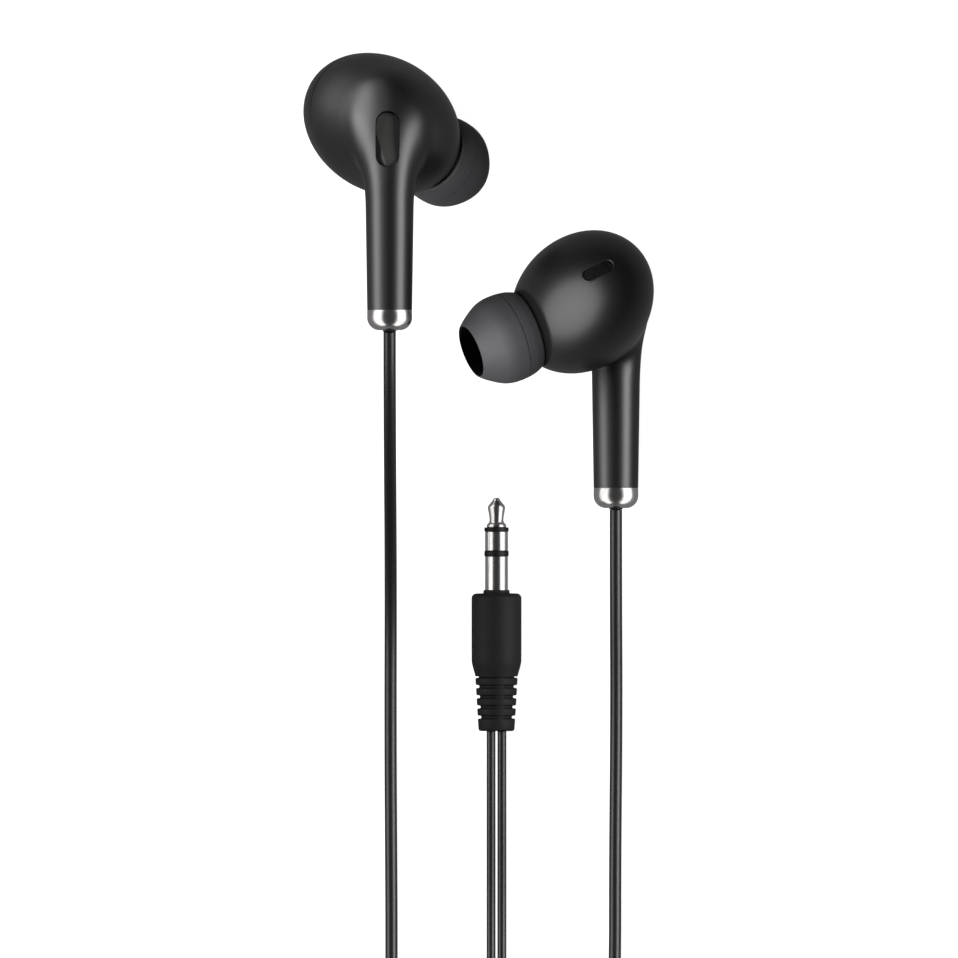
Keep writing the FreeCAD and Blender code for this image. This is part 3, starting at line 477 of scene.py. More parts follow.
# Each look: darker and lighter tone, roughness from and to, size of patches, size and height of
# the grain in millimetres, and what else its shader or mapping needs.
LOOKS = {
    "shell_black": ((0.0010, 0.0011, 0.0011), (0.0018, 0.0019, 0.0019), (0.36, 0.42),
                    6.0, 0.12, 0.0012, {"IOR": 1.52}),
    "inlay_grey": ((0.036, 0.038, 0.035), (0.046, 0.049, 0.045), (0.42, 0.55),
                   1.2, 0.10, 0.003, {"stretch": (1, 0.12, 1), "wear": 0.4}),
    "mesh_black": ((0.004, 0.004, 0.004), (0.010, 0.010, 0.010), (0.30, 0.45),
                   0.5, 0.06, 0.002, {"Metallic": 0.5}),
    "silicone_grey": ((0.026, 0.026, 0.028), (0.032, 0.032, 0.034), (0.52, 0.64),
                      2.5, 0.14, 0.003, {"Specular_IOR_Level": 0.3}),
    "inner_plastic": ((0.02, 0.02, 0.02), (0.05, 0.05, 0.05), (0.4, 0.6), 3.0, 0.2, 0.004, {}),
    "steel": ((0.42, 0.42, 0.43), (0.56, 0.56, 0.57), (0.24, 0.40),
              1.5, 0.12, 0.002, {"Metallic": 1.0}),
    "magnet": ((0.10, 0.10, 0.11), (0.20, 0.20, 0.21), (0.35, 0.55),
               1.0, 0.15, 0.004, {"Metallic": 0.8}),
    "cone_film": ((0.30, 0.27, 0.20), (0.44, 0.40, 0.31), (0.25, 0.40), 1.2, 0.2, 0.003, {}),
    "board": ((0.02, 0.09, 0.05), (0.04, 0.15, 0.08), (0.35, 0.55), 0.8, 0.12, 0.003, {}),
    "chrome": ((0.60, 0.58, 0.57), (0.66, 0.64, 0.63), (0.22, 0.27),
               1.6, 0.10, 0.0001, {"stretch": (1, 0.25, 1), "Metallic": 1.0}),
    "rubber_black": ((0.007, 0.0075, 0.007), (0.012, 0.0125, 0.012), (0.58, 0.72),
                     2.0, 0.12, 0.006, {"Specular_IOR_Level": 0.2}),
    "cord_black": ((0.008, 0.008, 0.0085), (0.014, 0.014, 0.0145), (0.34, 0.44),
                   5.0, 0.25, 0.001, {"stretch": (1, 0.3, 1)}),
    "insulator_dark": ((0.004, 0.004, 0.004), (0.008, 0.008, 0.008), (0.45, 0.6),
                       1.0, 0.1, 0.002, {"Specular_IOR_Level": 0.2}),
    "soft_black": ((0.012, 0.012, 0.013), (0.022, 0.022, 0.024), (0.55, 0.72),
                   3.0, 0.18, 0.02, {"stretch": (1, 1, 0.5)}),
}


# ---------------- shell of an earpiece

def heading(turn, rise):
    """Unit vector from a turn about +Y and a rise towards +Y, in degrees."""
    turn, rise = math.radians(turn), math.radians(rise)
    return np.array([math.cos(rise) * math.cos(turn), math.sin(rise),
                     math.cos(rise) * math.sin(turn)])


def bulb_axes():
    """The bulb's long, narrow and broad directions, one to a row."""
    long_axis = heading(BULB_TURN, BULB_DIP)
    across = np.cross(long_axis, (0, 1, 0))
    across /= np.linalg.norm(across)
    above = np.cross(across, long_axis)
    roll = math.radians(BULB_ROLL)
    narrow = math.cos(roll) * across + math.sin(roll) * above
    broad = -math.sin(roll) * across + math.cos(roll) * above
    return np.array([long_axis, narrow, broad])


BULB_AXES = bulb_axes()


def smooth_max(first, second, blend):
    """The larger of two fields, rounded where they meet."""
    overlap = np.maximum(1 - np.abs(first - second) / blend, 0)
    return np.maximum(first, second) + blend * overlap ** 3 / 6


def egg_field(local, radii):
    """Signed distance, roughly, from an ellipsoid at the origin."""
    reach = np.linalg.norm(local / radii, axis=1)
    return reach * (reach - 1) / np.maximum(np.linalg.norm(local / radii ** 2, axis=1), 1e-9)


def smooth_min(first, second, blend):
    """The smaller of two fields, rounded where they meet."""
    return -smooth_max(-first, -second, blend)


def stem_field(points):
    """Signed distance, roughly, from the tapered stem, which leans back at its top."""
    height = points[:, 1]
    lean = -STEM_LEAN * np.maximum(height - STEM_LEAN_START, 0) ** 2
    share = np.clip((height - STEM_FOOT) / (STEM_TOP - STEM_FOOT), 0, 1)
    radius = STEM_FOOT_RADIUS + (STEM_TOP_RADIUS - STEM_FOOT_RADIUS) * share
    stem = np.hypot(points[:, 0], points[:, 2] - lean) - radius
    return smooth_max(stem, height - STEM_TOP, STEM_TOP_BLEND)


def shell_field(points):
    """Signed distance, roughly, from the shell's outside surface; negative inside.

    The stem flares into the outer face, and meets the inner half of the bulb in a crease.
    """
    outward = np.clip((points[:, 2] - CREASE_DEPTH) / CREASE_FADE, 0, 1)
    soft = outward * outward * (3 - 2 * outward)
    bulb = egg_field((points - BULB_MIDDLE) @ BULB_AXES.T, BULB_RADII)
    ledge = (points - NOZZLE_START) @ NOZZLE_AXIS - LEDGE
    bulb = smooth_max(bulb, ledge, LEDGE_BLEND)
    shoulder = egg_field(points - SHOULDER_MIDDLE, SHOULDER_RADII)
    body = smooth_min(bulb, shoulder, SHOULDER_BLEND)
    return smooth_min(body, stem_field(points), CREASE_BLEND + (STEM_BLEND - CREASE_BLEND) * soft)


def field_slope(points, step=0.02):
    """Direction in which the shell's field grows fastest."""
    slope = np.stack([shell_field(points + offset) - shell_field(points - offset)
                      for offset in np.eye(3) * step], axis=1) / (2 * step)
    return slope


def settle(points, rounds=8, least_slope=0.3, longest_step=0.4):
    """Move points onto the shell's outside surface, in steps that can't jump across a crease."""
    for _ in range(rounds):
        slope = field_slope(points)
        steepness = np.maximum(np.linalg.norm(slope, axis=1), least_slope)
        away = np.clip(shell_field(points) / steepness, -longest_step, longest_step)
        points = points - (away / steepness)[:, None] * slope
    return points


def get_points(mesh):
    """A mesh's points as an array."""
    flat = np.empty(len(mesh.vertices) * 3)
    mesh.vertices.foreach_get("co", flat)
    return flat.reshape(-1, 3)


def set_points(mesh, points):
    """Write an array back as a mesh's points."""
    mesh.vertices.foreach_set("co", points.ravel())
    mesh.update()


def rough_shell():
    """Bulb and stem as one evenly meshed lump, in millimetres."""
    edit = bmesh.new()
    turn = Matrix(BULB_AXES.T.tolist()).to_4x4()
    stretch = Matrix.Diagonal((*(BULB_RADII * 0.98), 1))
    bmesh.ops.create_icosphere(edit, subdivisions=5, radius=1,
                               matrix=Matrix.Translation(BULB_MIDDLE) @ turn @ stretch)
    bmesh.ops.create_icosphere(edit, subdivisions=4, radius=1,
                               matrix=Matrix.Translation(SHOULDER_MIDDLE)
                               @ Matrix.Diagonal((*(SHOULDER_RADII * 0.98), 1)))
    length = STEM_TOP - 1
    bmesh.ops.create_cone(edit, cap_ends=True, segments=48, radius1=STEM_FOOT_RADIUS,
                          radius2=STEM_FOOT_RADIUS, depth=length,
                          matrix=Matrix.Translation((0, length / 2, -0.4))
                          @ Matrix.Rotation(-math.pi / 2, 4, "X"))
    mesh = bpy.data.meshes.new("lump")
    edit.to_mesh(mesh)
    edit.free()
    lump = link(bpy.data.objects.new("lump", mesh))
    remesh = lump.modifiers.new("even", "REMESH")
    remesh.mode, remesh.voxel_size = "VOXEL", SKIN_VOXEL
    apply_modifiers(lump)
    return lump


def bisect(obj, origin, normal):
    """Cut off what lies on the normal's side of a plane."""
    with editing(obj.data) as edit:
        everything = edit.verts[:] + edit.edges[:] + edit.faces[:]
        bmesh.ops.bisect_plane(edit, geom=everything, plane_co=origin, plane_no=normal,
                               clear_outer=True, dist=1e-4)


def shell_skin():
    """The outside surface of the whole shell, open at the stem's foot."""
    lump = rough_shell()
    for iterations in (16, 4, 4, 4):
        relax = lump.modifiers.new("relax", "SMOOTH")
        relax.factor, relax.iterations = 0.5, iterations
        apply_modifiers(lump)
        set_points(lump.data, settle(get_points(lump.data)))
    bisect(lump, (0, STEM_FOOT, 0), (0, -1, 0))
    return lump


def shell_half(skin, name, side):
    """One half of the shell; side is 1 for the outer half and -1 for the inner."""
    half = link(bpy.data.objects.new(name, skin.data.copy()))
    turn = math.radians(PARTING_TURN)
    normal = np.array([math.sin(turn), 0, math.cos(turn)]) * side
    bisect(half, Vector(BULB_MIDDLE + normal * PARTING_GAP), -Vector(normal))
    points = get_points(half.data)
    inward = np.clip((points - BULB_MIDDLE) @ normal / PARTING_REACH, 0, 1)
    slope = field_slope(points)
    slope /= np.linalg.norm(slope, axis=1)[:, None]
    set_points(half.data, points - slope * (PARTING_DROP * (1 - inward) ** 2)[:, None])
    half.data.polygons.foreach_set("use_smooth", [True] * len(half.data.polygons))
    wall = half.modifiers.new("wall", "SOLIDIFY")
    wall.thickness, wall.offset, wall.use_even_offset = WALL, -1, False
    apply_modifiers(half)
    return half


def cut_out(obj, *cutters):
    """Take the cutters out of an object, and throw them away."""
    tool = bmesh.new()
    for cutter in cutters:
        tool.from_mesh(cutter.data)
    joined = bpy.data.meshes.new("cutters")
    tool.to_mesh(joined)
    tool.free()
    knife = link(bpy.data.objects.new("cutters", joined))
    hole = obj.modifiers.new("hole", "BOOLEAN")
    hole.object, hole.operation, hole.solver = knife, "DIFFERENCE", "MANIFOLD"
    apply_modifiers(obj)
    for used in (knife, *cutters):
        bpy.data.objects.remove(used)
    return obj


# ---------------- small pieces of an earpiece

SLOT_FRAME = (Matrix.Translation((*SLOT_MIDDLE, SLOT_FLOOR))
              @ Matrix.Rotation(math.radians(SLOT_TILT), 4, "X"))
VENT_TURN, VENT_PLACE, VENT_TILT = 213.5, (-2.7, 34.3, 20.05), 25.0
VENT_FRAME = (Matrix.Rotation(math.radians(VENT_TURN), 4, "Y") @ Matrix.Translation(VENT_PLACE)
              @ Matrix.Rotation(math.radians(VENT_TILT), 4, "Z"))
VENT_LENGTH, VENT_WIDTH = 4.9, 1.9
TO_METRES, TO_MILLIMETRES = Matrix.Scale(MM, 4), Matrix.Scale(1 / MM, 4)
QUARTER_TURN = Matrix.Rotation(math.pi / 2, 4, "Z")


def block_in_millimetres(name, outline, bottom, top, matrix):
    """A straight cutting block, in millimetres."""
    block = skinned(name, [at_height(outline, bottom), at_height(outline, top)], degrees=35)
    return place(place(block, TO_MILLIMETRES), matrix)


def outer_case(skin):
    """Outer half of the shell with the stem, and the recess for the inlay."""
    half = shell_half(skin, "outer_case", 1)
    cutter = block_in_millimetres("slot_cutter", slot_outline(SLOT_LENGTH, SLOT_WIDTH), 0, 6,
                                  SLOT_FRAME @ QUARTER_TURN)
    cut_out(half, cutter)
    sharpen(half)
    return place(half, TO_METRES)


def nozzle_matrix():
    """The nozzle's frame, in metres."""
    return aimed(NOZZLE_START, NOZZLE_AXIS)


def inner_case(skin):
    """Inner half of the shell, open at the vent and the nozzle."""
    half = shell_half(skin, "inner_case", -1)
    vent = block_in_millimetres("vent_cutter", slot_outline(VENT_LENGTH, VENT_WIDTH), -3, 3,
                                VENT_FRAME)
    bore = place(lathe("bore_cutter", [(0, -4), (NOZZLE_BORE, -4), (NOZZLE_BORE, 4), (0, 4)], 48,
                       closed=False), nozzle_matrix())
    place(bore, TO_MILLIMETRES)
    cut_out(half, vent, bore)
    sharpen(half)
    return place(half, TO_METRES)


def inlay():
    """Flat insert of the outer face, cut away along its lower left side."""
    length, width = SLOT_LENGTH - 0.05, SLOT_WIDTH - 0.05
    rows = [at_height(slot_outline(length - 2 * inset, width - 2 * inset, 24), height)
            for height, inset in ((-0.6, 0), (1.16, 0), (1.22, 0.03), (1.25, 0.08))]
    obj = place(skinned("inlay", rows), TO_MILLIMETRES)
    wedge = block_in_millimetres("wedge", [(-8, 0), (8, 0), (8, 6), (-8, 6)], 0, 3,
                                 Matrix.Translation((-1.2, 0.95, 1.25))
                                 @ Matrix.Rotation(math.radians(17), 4, "Z")
                                 @ Matrix.Rotation(math.radians(-32), 4, "X"))
    cut_out(obj, wedge)
    sharpen(obj, 20)
    return place(obj, TO_METRES @ SLOT_FRAME @ QUARTER_TURN)


def woven(name, radius_test, pitch, half_size, lift):
    """A diagonal mesh of thin wires; lift turns flat places into points in millimetres."""
    steps = int(half_size / pitch * 1.5)
    places, points, faces = {}, [], []
    corner = pitch / math.sqrt(2)

    def index(i, j):
        if (i, j) not in places:
            places[(i, j)] = len(points)
            points.append(((i - j) * corner, (i + j) * corner))
        return places[(i, j)]

    for i in range(-steps, steps):
        for j in range(-steps, steps):
            middle = ((i - j) * corner, (i + j + 1) * corner)
            if radius_test(*middle):
                faces.append((index(i, j), index(i + 1, j), index(i + 1, j + 1), index(i, j + 1)))
    wires = mesh_object(name, lift(np.array(points)), faces)
    frame_wires = wires.modifiers.new("wires", "WIREFRAME")
    frame_wires.thickness, frame_wires.use_even_offset = pitch * 0.42 * MM, False
    apply_modifiers(wires)
    return wires


def in_slot(length, width):
    """A test for whether a flat place is inside a slot outline along X."""
    def inside(x, y):
        beyond = max(abs(x) - (length - width) / 2, 0)
        return math.hypot(beyond, y) < width / 2
    return inside


def onto_shell(flat, level):
    """Drop flat places of the vent's frame onto the shell, level below its surface."""
    matrix = np.array(VENT_FRAME)
    points = np.column_stack([flat, np.zeros(len(flat)), np.ones(len(flat))]) @ matrix.T
    points, forward = points[:, :3], matrix[:3, 2]
    for _ in range(8):
        slope = field_slope(points) @ forward
        points = points - ((shell_field(points) - level) / slope)[:, None] * forward
    return points


def vent_grille():
    """Fine black mesh set just inside the vent."""
    inside = in_slot(VENT_LENGTH + 0.3, VENT_WIDTH + 0.3)
    return woven("vent_grille", inside, 0.30, 2.8, lambda flat: onto_shell(flat, -0.24))


def tube_along(name, line, radius, sides=12):
    """A closed round tube along a closed line of points, in millimetres."""
    line = np.array(line)
    ahead = np.roll(line, -1, axis=0) - np.roll(line, 1, axis=0)
    ahead /= np.linalg.norm(ahead, axis=1)[:, None]
    outward = field_slope(line)
    outward -= (outward * ahead).sum(axis=1)[:, None] * ahead
    outward /= np.linalg.norm(outward, axis=1)[:, None]
    across = np.cross(ahead, outward)
    turns = np.linspace(0, 2 * math.pi, sides, endpoint=False)
    rows = [[tuple(spot + radius * (math.cos(a) * out + math.sin(a) * side)) for a in turns]
            for spot, out, side in zip(line, outward, across)]
    return skinned(name, rows, closed=True)


def vent_rim():
    """Fine bead round the vent's edge."""
    outline = np.array(slot_outline(VENT_LENGTH, VENT_WIDTH, 20))
    return tube_along("vent_rim", onto_shell(outline, 0.0), 0.12)


def nozzle():
    """Sound tube with a lip that holds the ear tip."""
    outer, lip, end = NOZZLE_RADIUS, NOZZLE_RADIUS + 0.18, NOZZLE_END
    profile = [(NOZZLE_BORE, -1.8), (outer, -1.8), (outer, end - 0.9), (lip, end - 0.65)]
    profile += arc((lip - 0.2, end - 0.2), 0.2, 0, 90, 5) + [(NOZZLE_BORE + 0.12, end)]
    profile += [(NOZZLE_BORE, end - 0.12)]
    return place(lathe("nozzle", profile), nozzle_matrix())


def nozzle_screen():
    """Fine mesh across the nozzle's end, slightly domed."""
    def lift(flat):
        height = NOZZLE_END - 0.45 - 0.03 * (flat ** 2).sum(axis=1)
        return np.column_stack([flat, height])
    screen = woven("nozzle_screen", lambda x, y: math.hypot(x, y) < NOZZLE_BORE, 0.3, 2.3, lift)
    return place(screen, nozzle_matrix())


def ear_tip():
    """Soft silicone tip: a domed skirt folded back over an inner tube."""
    skirt = [(5.94, 0.3), (6.1, 0.7), (6.3, 1.3), (6.42, 1.95), (6.49, 2.5)]
    notch = [(6.49, 2.56), (6.22, 2.57), (6.22, 2.70), (6.50, 2.71)]
    dome = [(6.52, 3.2), (6.50, 4.1), (6.40, 4.9), (6.16, 5.75), (5.78, 6.55), (5.30, 7.35),
            (4.85, 8.02), (4.45, 8.55), (4.17, 8.88), (4.02, 9.04), (3.9, 9.08), (3.78, 8.98),
            (3.68, 8.62), (3.4, 7.9), (3.12, 7.0), (3.05, 6.4)]
    inside = [(3.05, 0.3), (3.15, 0.2), (3.5, 0.2), (3.6, 0.35), (3.6, 6.6), (3.75, 6.85),
              (4.05, 6.9), (4.9, 6.2), (5.55, 5.2), (5.9, 4.1), (5.97, 3.2), (5.85, 1.8),
              (5.6, 0.8), (5.42, 0.3), (5.45, 0.08), (5.6, 0.0), (5.8, 0.05)]
    profile = smooth_through(skirt, 4) + notch + smooth_through(dome, 5) + inside
    return place(lathe("ear_tip", profile, 160, degrees=60), nozzle_matrix())


def tip_liner():
    """Painted shade: a dark lining laid over the ear tip's mouth and bore, lit by no lamp,
    standing in for the shadow inside the hollow.
    """
    profile = [(3.86, 9.085), (3.76, 9.0), (3.65, 8.62), (3.37, 7.9), (3.09, 7.0), (3.02, 6.4),
               (3.02, 4.6), (2.96, 4.6), (2.96, 6.4), (3.03, 7.0), (3.31, 7.92), (3.59, 8.64),
               (3.71, 9.03), (3.80, 9.1)]
    return place(lathe("tip_liner", profile, 128, degrees=60), nozzle_matrix())


UP_THE_STEM = Matrix.Rotation(-math.pi / 2, 4, "X")


def end_cap():
    """Polished metal cap that closes the stem, with a small step where it meets the plastic."""
    radius = CAP_RADIUS
    profile = [(1.15, 0.12), (1.22, 0.0)] + arc((1.45, 1.8), 1.8, -90, 0, 22)
    profile += [(radius, 2.88), (radius - 0.03, 2.92), (radius - 0.08, 2.93)]
    profile += [(radius - 0.08, CAP_LENGTH), (2.45, CAP_LENGTH), (2.45, 4.3), (1.9, 4.3)]
    profile += [(1.9, 1.3), (1.15, 1.2)]
    return place(lathe("end_cap", profile, 128, degrees=40), UP_THE_STEM)


def grommet():
    """Soft ring through which the cord leaves the cap."""
    profile = [(CORD / 2 - 0.02, -0.2)] + arc((0.90, -0.12), 0.08, -90, 0, 5)
    profile += [(0.98, 0.1), (1.12, 0.3), (1.12, 1.2), (2.1, 1.25), (2.1, 1.9)]
    profile += [(CORD / 2 - 0.02, 2.0)]
    return place(lathe("grommet", profile, 64), UP_THE_STEM)


# ---------------- plug

PLUG_FRAME = aimed((PLUG_X, PLUG_END, PLUG_HEIGHT), (0, 1, 0), up=(0, 0, 1))


def overmould():
    """Moulded grip with a ribbed strain relief."""
    first, pitch, width, depth = 1.75, 1.48, 0.55, 0.5
    foot, neck, ribs_end = 2.62, 3.1, 8.1
    bridges, half_width, fullness = (103, -77), 11.5, 0.85
    profile = [(0.72, 0.0), (2.3, 0.0), (2.52, 0.08), (foot, 0.3)]

    def outside(station):
        return foot + (neck - foot) * station / ribs_end

    for number in range(5):
        start = first + pitch * number
        for along, inward in ((-0.10, 0), (-0.02, 0.03), (0.05, 0.12), (0.09, depth - 0.08),
                              (0.17, depth), (width - 0.17, depth), (width - 0.09, depth - 0.08),
                              (width - 0.05, 0.12), (width + 0.02, 0.03), (width + 0.10, 0)):
            profile.append((outside(start + along) - inward, start + along))
    profile += [(3.08, 7.95), (3.12, 8.15), (3.25, 8.6), (3.42, 9.2), (3.55, 9.7), (3.62, 10.15)]
    profile += [(3.63, 12.0), (3.63, 19.2)] + arc((2.93, 19.3), 0.7, 0, 88, 10)
    profile += [(2.0, 20.02), (1.9, 20.1), (1.9, 20.45), (1.82, 20.5), (0.72, 20.5)]
    grip = lathe("overmould", profile, 160, degrees=50)
    points = get_points(grip.data)
    angle = np.degrees(np.arctan2(points[:, 1], points[:, 0]))
    beside = np.minimum(*[abs(angle - middle) for middle in bridges]) / half_width
    bridge = np.clip(1.6 - beside, 0, 1) * fullness
    radius = np.hypot(points[:, 0], points[:, 1])
    full = outside(points[:, 2] / MM) * MM
    ribbed = (points[:, 2] > 1.2 * MM) & (points[:, 2] < 7.9 * MM) & (radius > 2.0 * MM)
    grown = np.where(ribbed, radius + (full - radius) * bridge, radius)
    points[:, :2] *= (grown / np.maximum(radius, 1e-9))[:, None]
    set_points(grip.data, points)
    return place(grip, PLUG_FRAME)


def plug_pieces():
    """The plug's contacts and insulators: name, material slot and outline."""
    sleeve = [(0.4, 20.3), (1.66, 20.3), (1.66, 25.34), (1.60, 25.4), (0.4, 25.4)]
    rear = [(0.4, 25.4), (1.72, 25.4), (1.77, 25.46), (1.77, 26.14), (1.72, 26.2), (0.4, 26.2)]
    ring = [(0.4, 26.2), (1.62, 26.2), (1.67, 26.26), (1.67, 28.94), (1.62, 29.0), (0.4, 29.0)]
    front = [(0.4, 29.0), (1.72, 29.0), (1.77, 29.06), (1.77, 29.54), (1.72, 29.6), (0.4, 29.6)]
    tip = [(0, 29.6), (1.36, 29.6), (1.42, 29.66), (1.42, 29.95)]
    tip += smooth_through([(1.36, 30.04), (1.12, 30.3), (1.01, 30.65), (1.06, 31.2), (1.19, 31.95),
                           (1.26, 32.45), (1.20, 32.7), (0.95, 33.05), (0.62, 33.45),
                           (0.50, 33.65), (0.38, 33.84)], 5)
    tip += [(0.25, 33.9), (0, 33.9)]
    return (("plug_sleeve", "chrome", sleeve, "plug_sleeve_contact"),
            ("plug_rear_ring", "insulator_dark", rear, "plug_rear_insulator"),
            ("plug_ring", "chrome", ring, "plug_ring_contact"),
            ("plug_front_ring", "insulator_dark", front, "plug_front_insulator"),
            ("plug_tip", "chrome", tip, "plug_tip_contact"))


# ---------------- splitter and tie

def oval_section(middle, half_width, half_height, power=4.0, count=40):
    """A soft-cornered section in the XZ plane at a height along Y."""
    points = []
    for step in range(count):
        angle = 2 * math.pi * step / count
        c, s = math.cos(angle), math.sin(angle)
        points.append((middle[0] + half_width * math.copysign(abs(c) ** (2 / power), c),
                       middle[1],
                       middle[2] + half_height * math.copysign(abs(s) ** (2 / power), s)))
    return points


def splitter():
    """Moulded Y-splitter: a flat waisted block with three grip ribs."""
    width, length, thickness = SPLITTER_SIZE
    stations = []
    for along in np.linspace(-1, 1, 49):
        end = max(abs(along) - 0.82, 0) / 0.18
        swell = math.sqrt(max(1 - end ** 2, 0.04))
        waist = 1 - 0.07 * math.cos(math.pi * along / 2) ** 2
        rib = 0.12 * sum(math.exp(-((along - centre) / 0.045) ** 2) for centre in (-0.3, 0, 0.3))
        stations.append((along, (width / 2 - 0.15) * swell * waist + rib,
                         (thickness / 2 - 0.15) * swell + rib))
    middle = SPLITTER_MIDDLE
    return skinned("splitter_finish", [
        oval_section((middle[0], middle[1] + along * length / 2, middle[2]), half, tall)
        for along, half, tall in stations], degrees=50)


def tie():
    """Soft ribbed strap round the hank's waist, cinched over the open middle."""
    low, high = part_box("cord_tie")
    low, high = np.array(low) / MM, np.array(high) / MM
    middle, half = (low + high) / 2, (high - low) / 2
    thickness, count = 0.7, 120
    across = [(-1, 0.25), (-0.94, 0.06), (-0.85, 0)]
    across += [(y, 0.09 * (1 - math.cos(math.pi * (y + 0.7) / 0.14)) / 2)
               for y in np.linspace(-0.7, 0.7, 61)]
    across += [(0.85, 0), (0.94, 0.06), (1, 0.25), (1, 0.75), (0.94, 0.95), (0.85, 1)]
    across += [(-0.85, 1), (-0.94, 0.95), (-1, 0.75)]
    rows = []
    for along, depth in across:
        outer = oval_section((middle[0], middle[1] + along * half[1], middle[2]),
                             half[0] - depth * thickness, half[2] - depth * thickness, 5.0, count)
        rows.append([(x, y, z - 0.5 * math.exp(-((x - middle[0]) / 3.0) ** 2)
                      * (1 if z > middle[2] else 0)) for x, y, z in outer])
    return skinned("tie_finish", rows, closed=True)


# ---------------- putting it together

def dress(obj, material_slot, *nodes, body="root"):
    """Give a piece its material, its body and the nodes that it stands for."""
    obj.data.materials.clear()
    obj.data.materials.append(MATERIALS[material_slot])
    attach(obj, body)
    if nodes:
        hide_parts(*nodes)
    return obj


def in_both_ears(template, material_slot, *nodes, body="root"):
    """Put a piece modelled in the earpiece frame into both earpieces."""
    for side in SIDES:
        copy = link(bpy.data.objects.new(f"{side}_{template.name}", template.data.copy()))
        place(copy, EARS[side])
        dress(copy, material_slot, *[f"{side}_{name}" for name in nodes],
              body=body.format(side))
    bpy.data.objects.remove(template)


def make_earpieces():
    """All the finished pieces of the two earpieces."""
    skin = shell_skin()
    in_both_ears(outer_case(skin), "shell_black", "outer_shell")
    in_both_ears(inner_case(skin), "shell_black", "inner_shell")
    bpy.data.objects.remove(skin)
    in_both_ears(inlay(), "inlay_grey", "slot_inlay")
    in_both_ears(vent_grille(), "mesh_black", "vent_mesh")
    in_both_ears(vent_rim(), "shell_black")
    in_both_ears(nozzle(), "shell_black")
    in_both_ears(nozzle_screen(), "mesh_black", "nozzle_mesh")
    in_both_ears(ear_tip(), "silicone_grey", "ear_tip", body="{}_tip")
    # The dark lining of the ear tip's mouth is painted shade.
    in_both_ears(tip_liner(), "rubber_black", body="{}_tip")
    in_both_ears(end_cap(), "chrome", "end_cap")
    in_both_ears(grommet(), "rubber_black", "cord_grommet")


def make_plug():
    """The plug's finished pieces."""
    made = [dress(overmould(), "rubber_black", "plug_overmould")]
    made[0].name = "plug_grip"
    for name, material_slot, profile, replaced in plug_pieces():
        piece = place(lathe(name, profile, 96, closed=name != "plug_tip"), PLUG_FRAME)
        made.append(dress(piece, material_slot, replaced))
    return made


def declare_cord(obj, replaced):
    """Attach a cord to the root body, and hide the imported parts that it replaces."""
    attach(obj, "root")
    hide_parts(*replaced)


def make_cords():
    """The two earpiece cords, the two strands to the plug, the splitter and the tie."""
    black = MATERIALS["cord_black"]
    joint = dress(splitter(), "rubber_black", "y_splitter")
    dress(tie(), "soft_black", "cord_tie")
    plug = make_plug()
    for side in SIDES:
        points = earpiece_cord(side)
        cord = cord_object(f"{side}_cord", points, CORD, black)
        declare_cord(cord, [f"cord_{side}"])
    strands = {"left": (STRAND_LANES[0], STRAND_LANES[2], 0.8, -STRAND_HALF_GAP),
               "right": (STRAND_LANES[1], STRAND_LANES[3], -0.8, STRAND_HALF_GAP)}
    for side, (first, second, side_step, offset) in strands.items():
        points = strand_turns(first, second, side_step) + strand_exit(second, offset)
        cord = cord_object(f"{side}_strand", points, STRAND, black)
        replaced = [f"strand_{side}"] + (["cord_hank"] if side == "left" else [])
        declare_cord(cord, replaced)


NODE_SLOTS = {"driver_basket": "inner_plastic", "driver_yoke": "steel", "driver_magnet": "magnet",
              "driver_top_plate": "steel", "driver_cone": "cone_film", "driver_cover": "steel",
              "terminal_board": "board", "cord_knot": "cord_black", "inner_lead": "cord_black"}


def dress_nodes():
    """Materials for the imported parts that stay: the driver, the knot and what is in the plug."""
    targets = {f"{side}_{name}": look for side in SIDES for name, look in NODE_SLOTS.items()}
    targets["plug_inner_mould"] = "inner_plastic"
    for name, look in targets.items():
        packed = frame["nodes"][name].data.materials
        packed.clear()
        packed.append(MATERIALS[look])


# ---------------- floor and light

def seen_directly(tree, hidden, seen):
    """Mix two shaders so that only the second is seen straight from a camera."""
    path = node(tree, "ShaderNodeLightPath")
    mix = node(tree, "ShaderNodeMixShader")
    tree.links.new(path.outputs["Is Camera Ray"], mix.inputs["Fac"])
    tree.links.new(hidden, mix.inputs[1])
    tree.links.new(seen, mix.inputs[2])
    return mix.outputs["Shader"]


def make_floor():
    """A plain pale table top, which is duller in what is mirrored by the object."""
    material = surface("table", (0.10, 0.10, 0.10), (0.14, 0.14, 0.14), (0.6, 0.7), 60, 1.5, 0.01,
                       Specular_IOR_Level=0.15)
    tree = material.node_tree
    shader = tree.nodes["Principled BSDF"]
    shader.inputs["Emission Color"].default_value = (1, 1, 1, 1)
    shader.inputs["Emission Strength"].default_value = FLOOR_GLOW
    dull = node(tree, "ShaderNodeEmission", Color=(0.98, 0.98, 1.0, 1), Strength=FLOOR_MIRRORED)
    both = seen_directly(tree, dull.outputs["Emission"], shader.outputs["BSDF"])
    tree.links.new(both, tree.nodes["Material Output"].inputs["Surface"])
    corners = [(x * TABLE_REACH, y * TABLE_REACH, 0)
               for x, y in ((-1, -1), (1, -1), (1, 1), (-1, 1))]
    floor = mesh_object("table_top", corners, [(0, 1, 2, 3)], smooth=False)
    floor.data.materials.append(material)
    return floor


LIGHT_TARGET = Vector((0.0, -0.02, 0.012))
FLOOR_GLOW, FLOOR_MIRRORED = 0.96, 0.22
SKY_SEEN, SKY_MIRRORED = 0.95, 0.035
TABLE_REACH = 4000


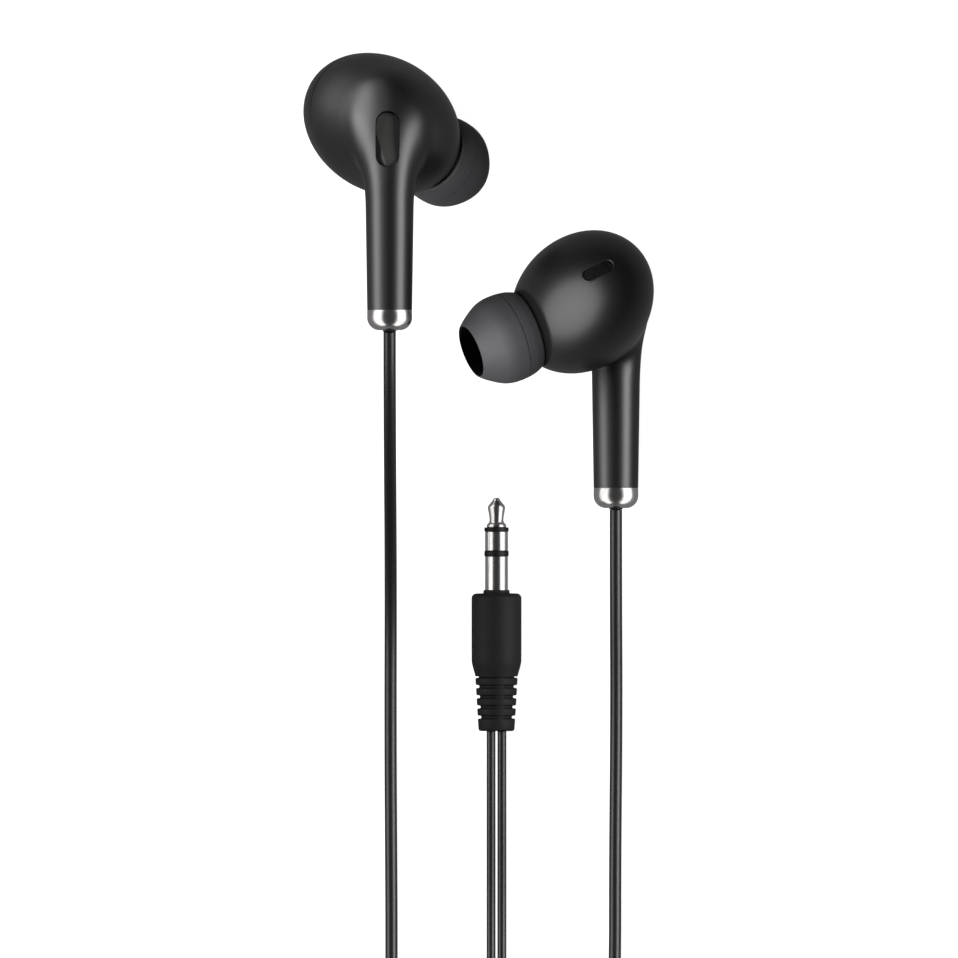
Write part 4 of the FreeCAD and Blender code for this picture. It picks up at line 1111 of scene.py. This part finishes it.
def soft_light(name, towards, distance, size, radiance, lit, shape):
    """A flat light in a direction from the earpieces, with a given brightness."""
    data = bpy.data.lights.new(name, "AREA")
    data.shape, data.size, data.size_y = shape, *size
    area = size[0] * size[1] * (math.pi / 4 if shape == "ELLIPSE" else 1)
    data.energy = radiance * math.pi * area
    light = link(bpy.data.objects.new(name, data))
    way = Vector(towards).normalized()
    light.location = LIGHT_TARGET + way * distance
    light.rotation_mode = "QUATERNION"
    light.rotation_quaternion = aimed((0, 0, 0), way).to_quaternion()
    light.visible_camera = False
    light.light_linking.receiver_collection = lit


# The dark lining in the ear tip's mouth is painted shade, and no lamp falls on it.
LIT_BY = {**dict.fromkeys(("inner_case", "ear_tip", "vent_grille", "vent_rim", "nozzle",
                           "nozzle_screen"), "overhead"),
          **dict.fromkeys(("end_cap", "sleeve", "ring", "tip"), "strips"), "tip_liner": None}


def light_groups():
    """What the overhead light, the boxes, the long strips and the face box fall on."""
    groups = {name: bpy.data.collections.new(name)
              for name in ("overhead", "boxes", "strips", "face")}
    for obj in bpy.context.scene.objects:
        if obj.type in {"MESH", "CURVE"}:
            kind = obj.name.split(".")[0].split("_", 1)[-1]
            lit_by = LIT_BY.get(kind, "boxes")
            if lit_by:
                groups[lit_by].objects.link(obj)
            if kind == "outer_case":
                groups["face"].objects.link(obj)
    return groups


def sideways(degrees):
    """Direction from straight up towards +X, over the table."""
    return (math.sin(math.radians(degrees)), 0, math.cos(math.radians(degrees)))


# Name, direction, distance and size in metres, brightness, group that it falls on, and shape.
LIGHTS = (
    ("left_box", sideways(-65), 0.9, (0.50, 0.6), 5.6, "boxes", "RECTANGLE"),
    ("right_box", sideways(55), 0.9, (0.50, 0.6), 9.6, "boxes", "RECTANGLE"),
    ("left_strip", sideways(-66), 0.9, (0.86, 5.0), 1.8, "strips", "RECTANGLE"),
    ("right_strip", sideways(66), 0.9, (0.86, 5.0), 2.1, "strips", "RECTANGLE"),
    ("face_wide", (-0.74, 0.60, 0.5), 1.0, (2.0, 1.8), 1.0, "face", "ELLIPSE"),
    ("face_core", (-0.83, 0.54, 0.20), 1.0, (1.3, 1.0), 4.8, "face", "ELLIPSE"),
    ("above_wide", (-0.67, -0.35, 1.0), 1.1, (2.3, 2.3), 3.4, "overhead", "ELLIPSE"),
    ("above_core", (-0.67, -0.35, 1.0), 1.1, (1.1, 1.1), 8.5, "overhead", "ELLIPSE"),
)


def make_light():
    """Soft boxes and long strips at both sides, and wide soft lights from above."""
    groups = light_groups()
    groups["overhead"].objects.link(make_floor())
    for *settings, lit, shape in LIGHTS:
        soft_light(*settings, groups[lit], shape)
    world = bpy.data.worlds.new("studio")
    world.use_nodes = True
    tree = world.node_tree
    dim = tree.nodes["Background"]
    dim.inputs["Color"].default_value = (0.96, 0.97, 1.0, 1)
    dim.inputs["Strength"].default_value = SKY_MIRRORED
    pale = node(tree, "ShaderNodeBackground", Color=(SKY_SEEN, SKY_SEEN, SKY_SEEN, 1))
    both = seen_directly(tree, dim.outputs["Background"], pale.outputs["Background"])
    tree.links.new(both, tree.nodes["World Output"].inputs["Surface"])
    bpy.context.scene.world = world
    bpy.context.scene.view_settings.view_transform = "Standard"


MATERIALS = {name: surface(name, *look[:-1], **look[-1]) for name, look in LOOKS.items()}
make_camera()
make_cords()
make_earpieces()
dress_nodes()
make_light()
